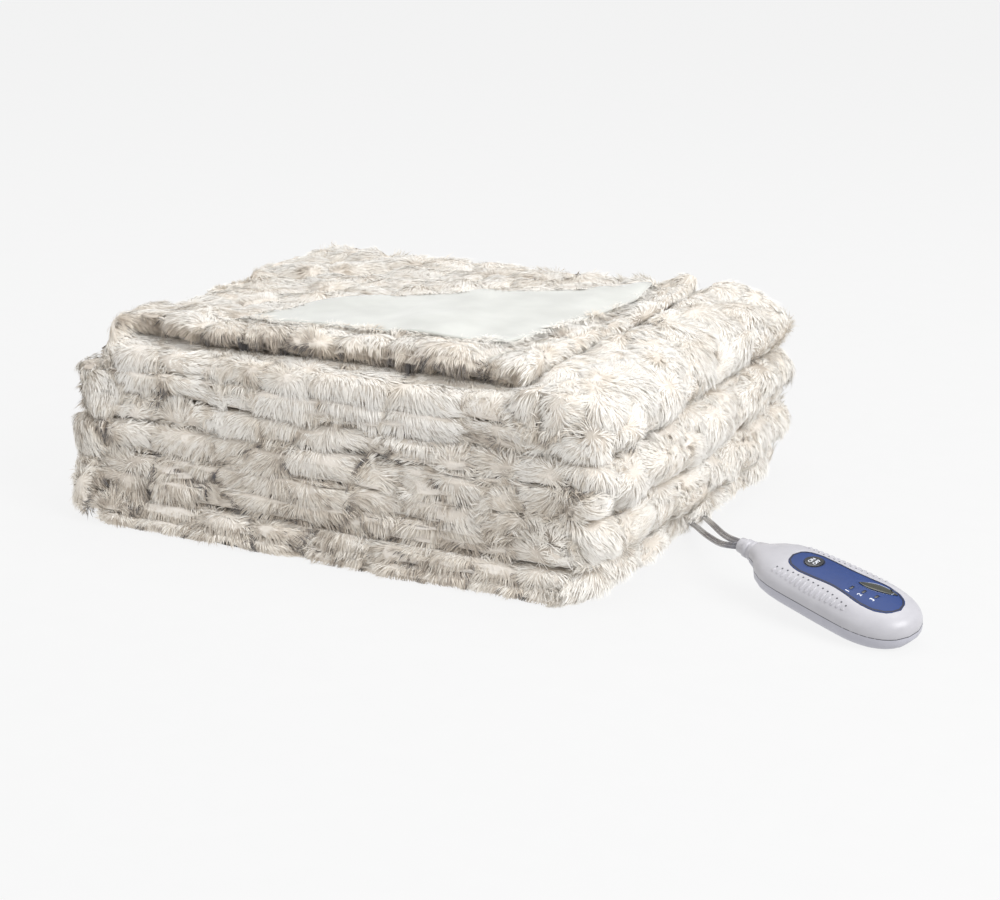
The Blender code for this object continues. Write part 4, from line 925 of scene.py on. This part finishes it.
def mould_ribs():
    """Fifteen low finger ribs down each flank and the small dots above them."""
    shell = handset_tree("upper_shell")
    along, dot_at, foot_at = (np.array(c) for c in zip(*GRIP))
    ribs, rib_faces, dots, dot_faces = [], [], [], []
    row = RIB_STEPS + 1
    for flank in (1, -1):
        for x in np.linspace(along[0], along[-1], GRIP_COUNT):
            dot, foot = np.interp(x, along, dot_at), np.interp(x, along, foot_at)
            starts = [len(ribs) + i * row + j for i in range(RIB_SECTIONS - 1) for j in range(RIB_STEPS)]
            rib_faces += [(k, k + 1, k + row + 1, k + row) for k in starts]
            ribs += rib_points(shell, x, dot, foot, flank)
            first = len(dots)
            dot_faces += [(first, first + 1 + j, first + 1 + (j + 1) % DOT_STEPS) for j in range(DOT_STEPS)]
            dots += dot_points(shell, x, dot, flank)
    mesh_piece("finger_ribs", ribs, rib_faces, SHELL_ABS)
    mesh_piece("grip_dots", dots, dot_faces, DOT_GREY_AND_SEAM_SHADOW)


def printed(name, text, height, place, node, body):
    """Words or a numeral printed on the handset, read with its lead at the top."""
    data = bpy.data.curves.new(name, "FONT")
    data.body, data.size, data.align_x, data.align_y = text, height / CAPITAL_SHARE, "CENTER", "CENTER"
    data.offset = 0.02 * height
    word = in_scene(name, data)
    flat = bpy.data.meshes.new_from_object(word.evaluated_get(bpy.context.evaluated_depsgraph_get()))
    bpy.data.objects.remove(word)
    tree = handset_tree(node)
    points = [on_face(tree, place[0] - v.co.y, place[1] + v.co.x, PRINT_LIFT) for v in flat.vertices]
    faces = [tuple(f.vertices) for f in flat.polygons]
    piece = mesh_piece(name, points, faces, PRINT_WHITE, body, smooth=False)
    bpy.data.meshes.remove(flat)


def ring_strip(name, outer, inner, material, lift):
    """A narrow flat ring between two closed outlines, laid on the face."""
    tree = handset_tree("face_inlay")
    n = len(outer)
    points = [on_face(tree, x, y, lift) for x, y in (*outer, *inner)]
    faces = [(k, (k + 1) % n, n + (k + 1) % n, n + k) for k in range(n)]
    mesh_piece(name, points, faces, material)


def inset(outline, by):
    """The closed outline moved inwards by a distance."""
    p = np.array(outline)
    ahead = np.roll(p, -1, axis=0) - np.roll(p, 1, axis=0)
    normal = unit(np.stack([-ahead[:, 1], ahead[:, 0]], axis=1))
    inward = np.sign(np.sum((p.mean(axis=0) - p) * normal, axis=1).sum())
    return p + normal * inward * by


def inlay_edge():
    """The face inlay's closed outline, through its few points at even turns of an arc."""
    xs, halves = (np.array(c) * MM for c in zip(*INLAY_OUTLINE))
    t = np.linspace(0, math.pi, 60)
    along = (xs[0] + xs[-1]) / 2 - (xs[-1] - xs[0]) / 2 * np.cos(t)
    half = np.interp(along, xs, halves)
    return [(x, h) for x, h in zip(along, half)] + [(x, -h) for x, h in zip(along[-2:0:-1], half[-2:0:-1])]


def lens_edge(long, near, far):
    """The heat button's lens, two arcs, scaled along it and on its near and far side, in its place."""
    c, s = math.cos(HEAT_TURN), math.sin(HEAT_TURN)
    line = []
    for k in range(RING_STEPS):
        a = math.tau * k / RING_STEPS
        u = math.cos(a) * HEAT_SIZE[0] / 2
        v = math.copysign(HEAT_SIZE[1] / 2 * (1 - (2 * u / HEAT_SIZE[0]) ** 2), math.sin(a))
        u, v = u * long, v * (far if v > 0 else near)
        line.append((HEAT_PLACE[0] + u * c - v * s, HEAT_PLACE[1] + u * s + v * c))
    return line


def print_face():
    """The face's navy border, the lens button's lip painted light as its highlight, and the generic print."""
    border = inset(inlay_edge(), BORDER_INSET)
    ring_strip("navy_border", border, inset(border, BORDER_WIDTH), INLAY_RIM, BORDER_LIFT)
    turns = np.linspace(0, math.tau, RING_STEPS, endpoint=False)
    rim = [(POWER_PLACE[0] + math.cos(a) * (POWER_RADIUS + RIM_OFFSET),
            POWER_PLACE[1] + math.sin(a) * (POWER_RADIUS + RIM_OFFSET)) for a in turns]
    ring_strip("power_well_rim", rim, inset(rim, RIM_WIDTH), INLAY_RIM, PRINT_LIFT)
    # The lip's painted highlight is wide on the far side, where the edge catches the light.
    ring_strip("lens_lip_painted_highlight", lens_edge(1.05, 1.22, 1.36), lens_edge(1.05, 1.18, 1.18), LENS_LIP_HIGHLIGHT, LIP_LIFT)

    for k, (x, y) in enumerate(WINDOW_PLACES):
        beside = y * MM - WINDOW_HALF - NUMERAL_GAP - NUMERAL_HEIGHT * 0.35
        printed(f"numeral_{k + 1}", str(k + 1), NUMERAL_HEIGHT, (x * MM, beside), "face_inlay", "blanket")
    for name, word, step in (("power_on", "ON", -WORD_OFFSET), ("power_off", "OFF", WORD_OFFSET)):
        printed(name, word, WORD_HEIGHT, (POWER_PLACE[0] + step, POWER_PLACE[1]), "power_button", "power_button")


def draw_parting_seam():
    """A thin dark strip of painted shadow where the two shells meet, round the handset at its parting plane."""
    shell = handset_tree("upper_shell")
    points = []
    for k in range(SEAM_STEPS):
        a = math.tau * k / SEAM_STEPS
        way = Vector((1.35 * math.cos(a), 0.55 * math.sin(a), 0)).normalized()    # closer set towards the ends
        hit = shell.ray_cast(Vector((SEAM_MIDDLE, 0, SEAM_HEIGHT)) + way * 0.12, -way)[0] + way * SEAM_LIFT
        points += [HANDSET @ Vector((hit.x, hit.y, z)) for z in (-SEAM_HALF, SEAM_HALF)]
    n = 2 * SEAM_STEPS
    faces = [(k, (k + 2) % n, (k + 3) % n, k + 1) for k in range(0, n, 2)]
    mesh_piece("parting_seam_painted_shadow", points, faces, DOT_GREY_AND_SEAM_SHADOW)


def fit_controller():
    """The hand controller's mouldings, from their CAD nodes, with their ribs and print."""
    finished("upper_shell", "controller_top", SHELL_ABS, "blanket", 0.35, 40)
    finished("lower_shell", "controller_base", LOWER_ABS_PAINTED_SHADE, "blanket", 0.35, 40)
    finished("face_inlay", "controller_face", INLAY_BLUE, "blanket", 0.15, 30)
    finished("power_button", "power_cap", BUTTON_BLACK, "power_button", 0.25, 30)
    finished("heat_button", "heat_cap", BUTTON_OLIVE, "heat_button", 0.25, 30)
    for k in (1, 2, 3):
        finished(f"indicator_{k}", f"window_{k}", WINDOW_SMOKE, "blanket", 0.1, 30)
    finished("lead_collar", "ringed_collar", SHELL_ABS, "blanket", 0.15, 40)
    for name, material in (("plug_body", PLUG_PVC), ("plug_blade_wide", BLADE_NICKEL),
                           ("plug_blade_narrow", BLADE_NICKEL)):
        NODES[name].data.materials.clear()
        NODES[name].data.materials.append(material)
    mould_ribs()
    draw_parting_seam()
    print_face()


# ---------------------------------------------------------------- studio
def set_up_studio():
    """A pale floor that runs out of the picture, and large soft lamps around it."""
    half = 6.0                            # metres
    mesh = bpy.data.meshes.new("floor")
    mesh.from_pydata([(-half, -half, 0), (half, -half, 0), (half, half, 0), (-half, half, 0)], [], [(0, 1, 2, 3)])
    floor_material, tree = start_material("matt_paper_sweep")
    place = {"Vector": add(tree, "TexCoord").outputs["Object"]}
    # The paper's fibres are drawn as 25 mm clouds, because they are too fine to show.
    fibre = add(tree, "TexNoise", {"Scale": 1 / (25 * MM), "Detail": 2.0}, place)
    shade = shade_stops(tree, fibre.outputs["Fac"], ((0.3, "#464646"), (0.7, "#484848")))
    surface = add(tree, "BsdfPrincipled",
                  {"Roughness": 0.95, "Specular IOR Level": 0.0, "Emission Color": srgb("#F7F7F7"),
                   "Emission Strength": 0.92}, {"Base Color": shade})
    finish_material(floor_material, surface)
    mesh.materials.append(floor_material)
    in_scene("floor", mesh)

    bpy.context.scene.view_settings.view_transform = "Standard"
    world = bpy.data.worlds.new("studio_air")
    bpy.context.scene.world = world
    world.use_nodes = True
    world.node_tree.nodes["Background"].inputs["Color"].default_value = srgb("#F7F7F8")
    world.node_tree.nodes["Background"].inputs["Strength"].default_value = 0.575
    lamps = (
        # name, place, aimed at, size m, watts
        ("key_softbox", (1.75, -0.55, 1.4), (0.05, 0.0, 0.08), 1.2, 39),
        ("top_softbox", (0.0, 0.4, 2.0), (0.0, 0.0, 0.1), 1.8, 19),
        ("left_fill", (-1.3, -1.6, 0.9), (0.0, 0.0, 0.08), 1.4, 9),
    )
    for name, place, aim, size, watts in lamps:
        data = bpy.data.lights.new(name, "AREA")
        data.shape, data.size, data.energy = "SQUARE", size, watts
        lamp = in_scene(name, data)
        away = (Vector(place) - Vector(aim)).normalized()
        lamp.rotation_euler = away.to_track_quat("Z", "Y").to_euler()
        lamp.location = place


set_up_camera()
lay_leads()
ground, gathers = sew_ground()
lay_lining()
hairs = plant_hairs(ground, gathers)
fit_controller()
set_up_studio()
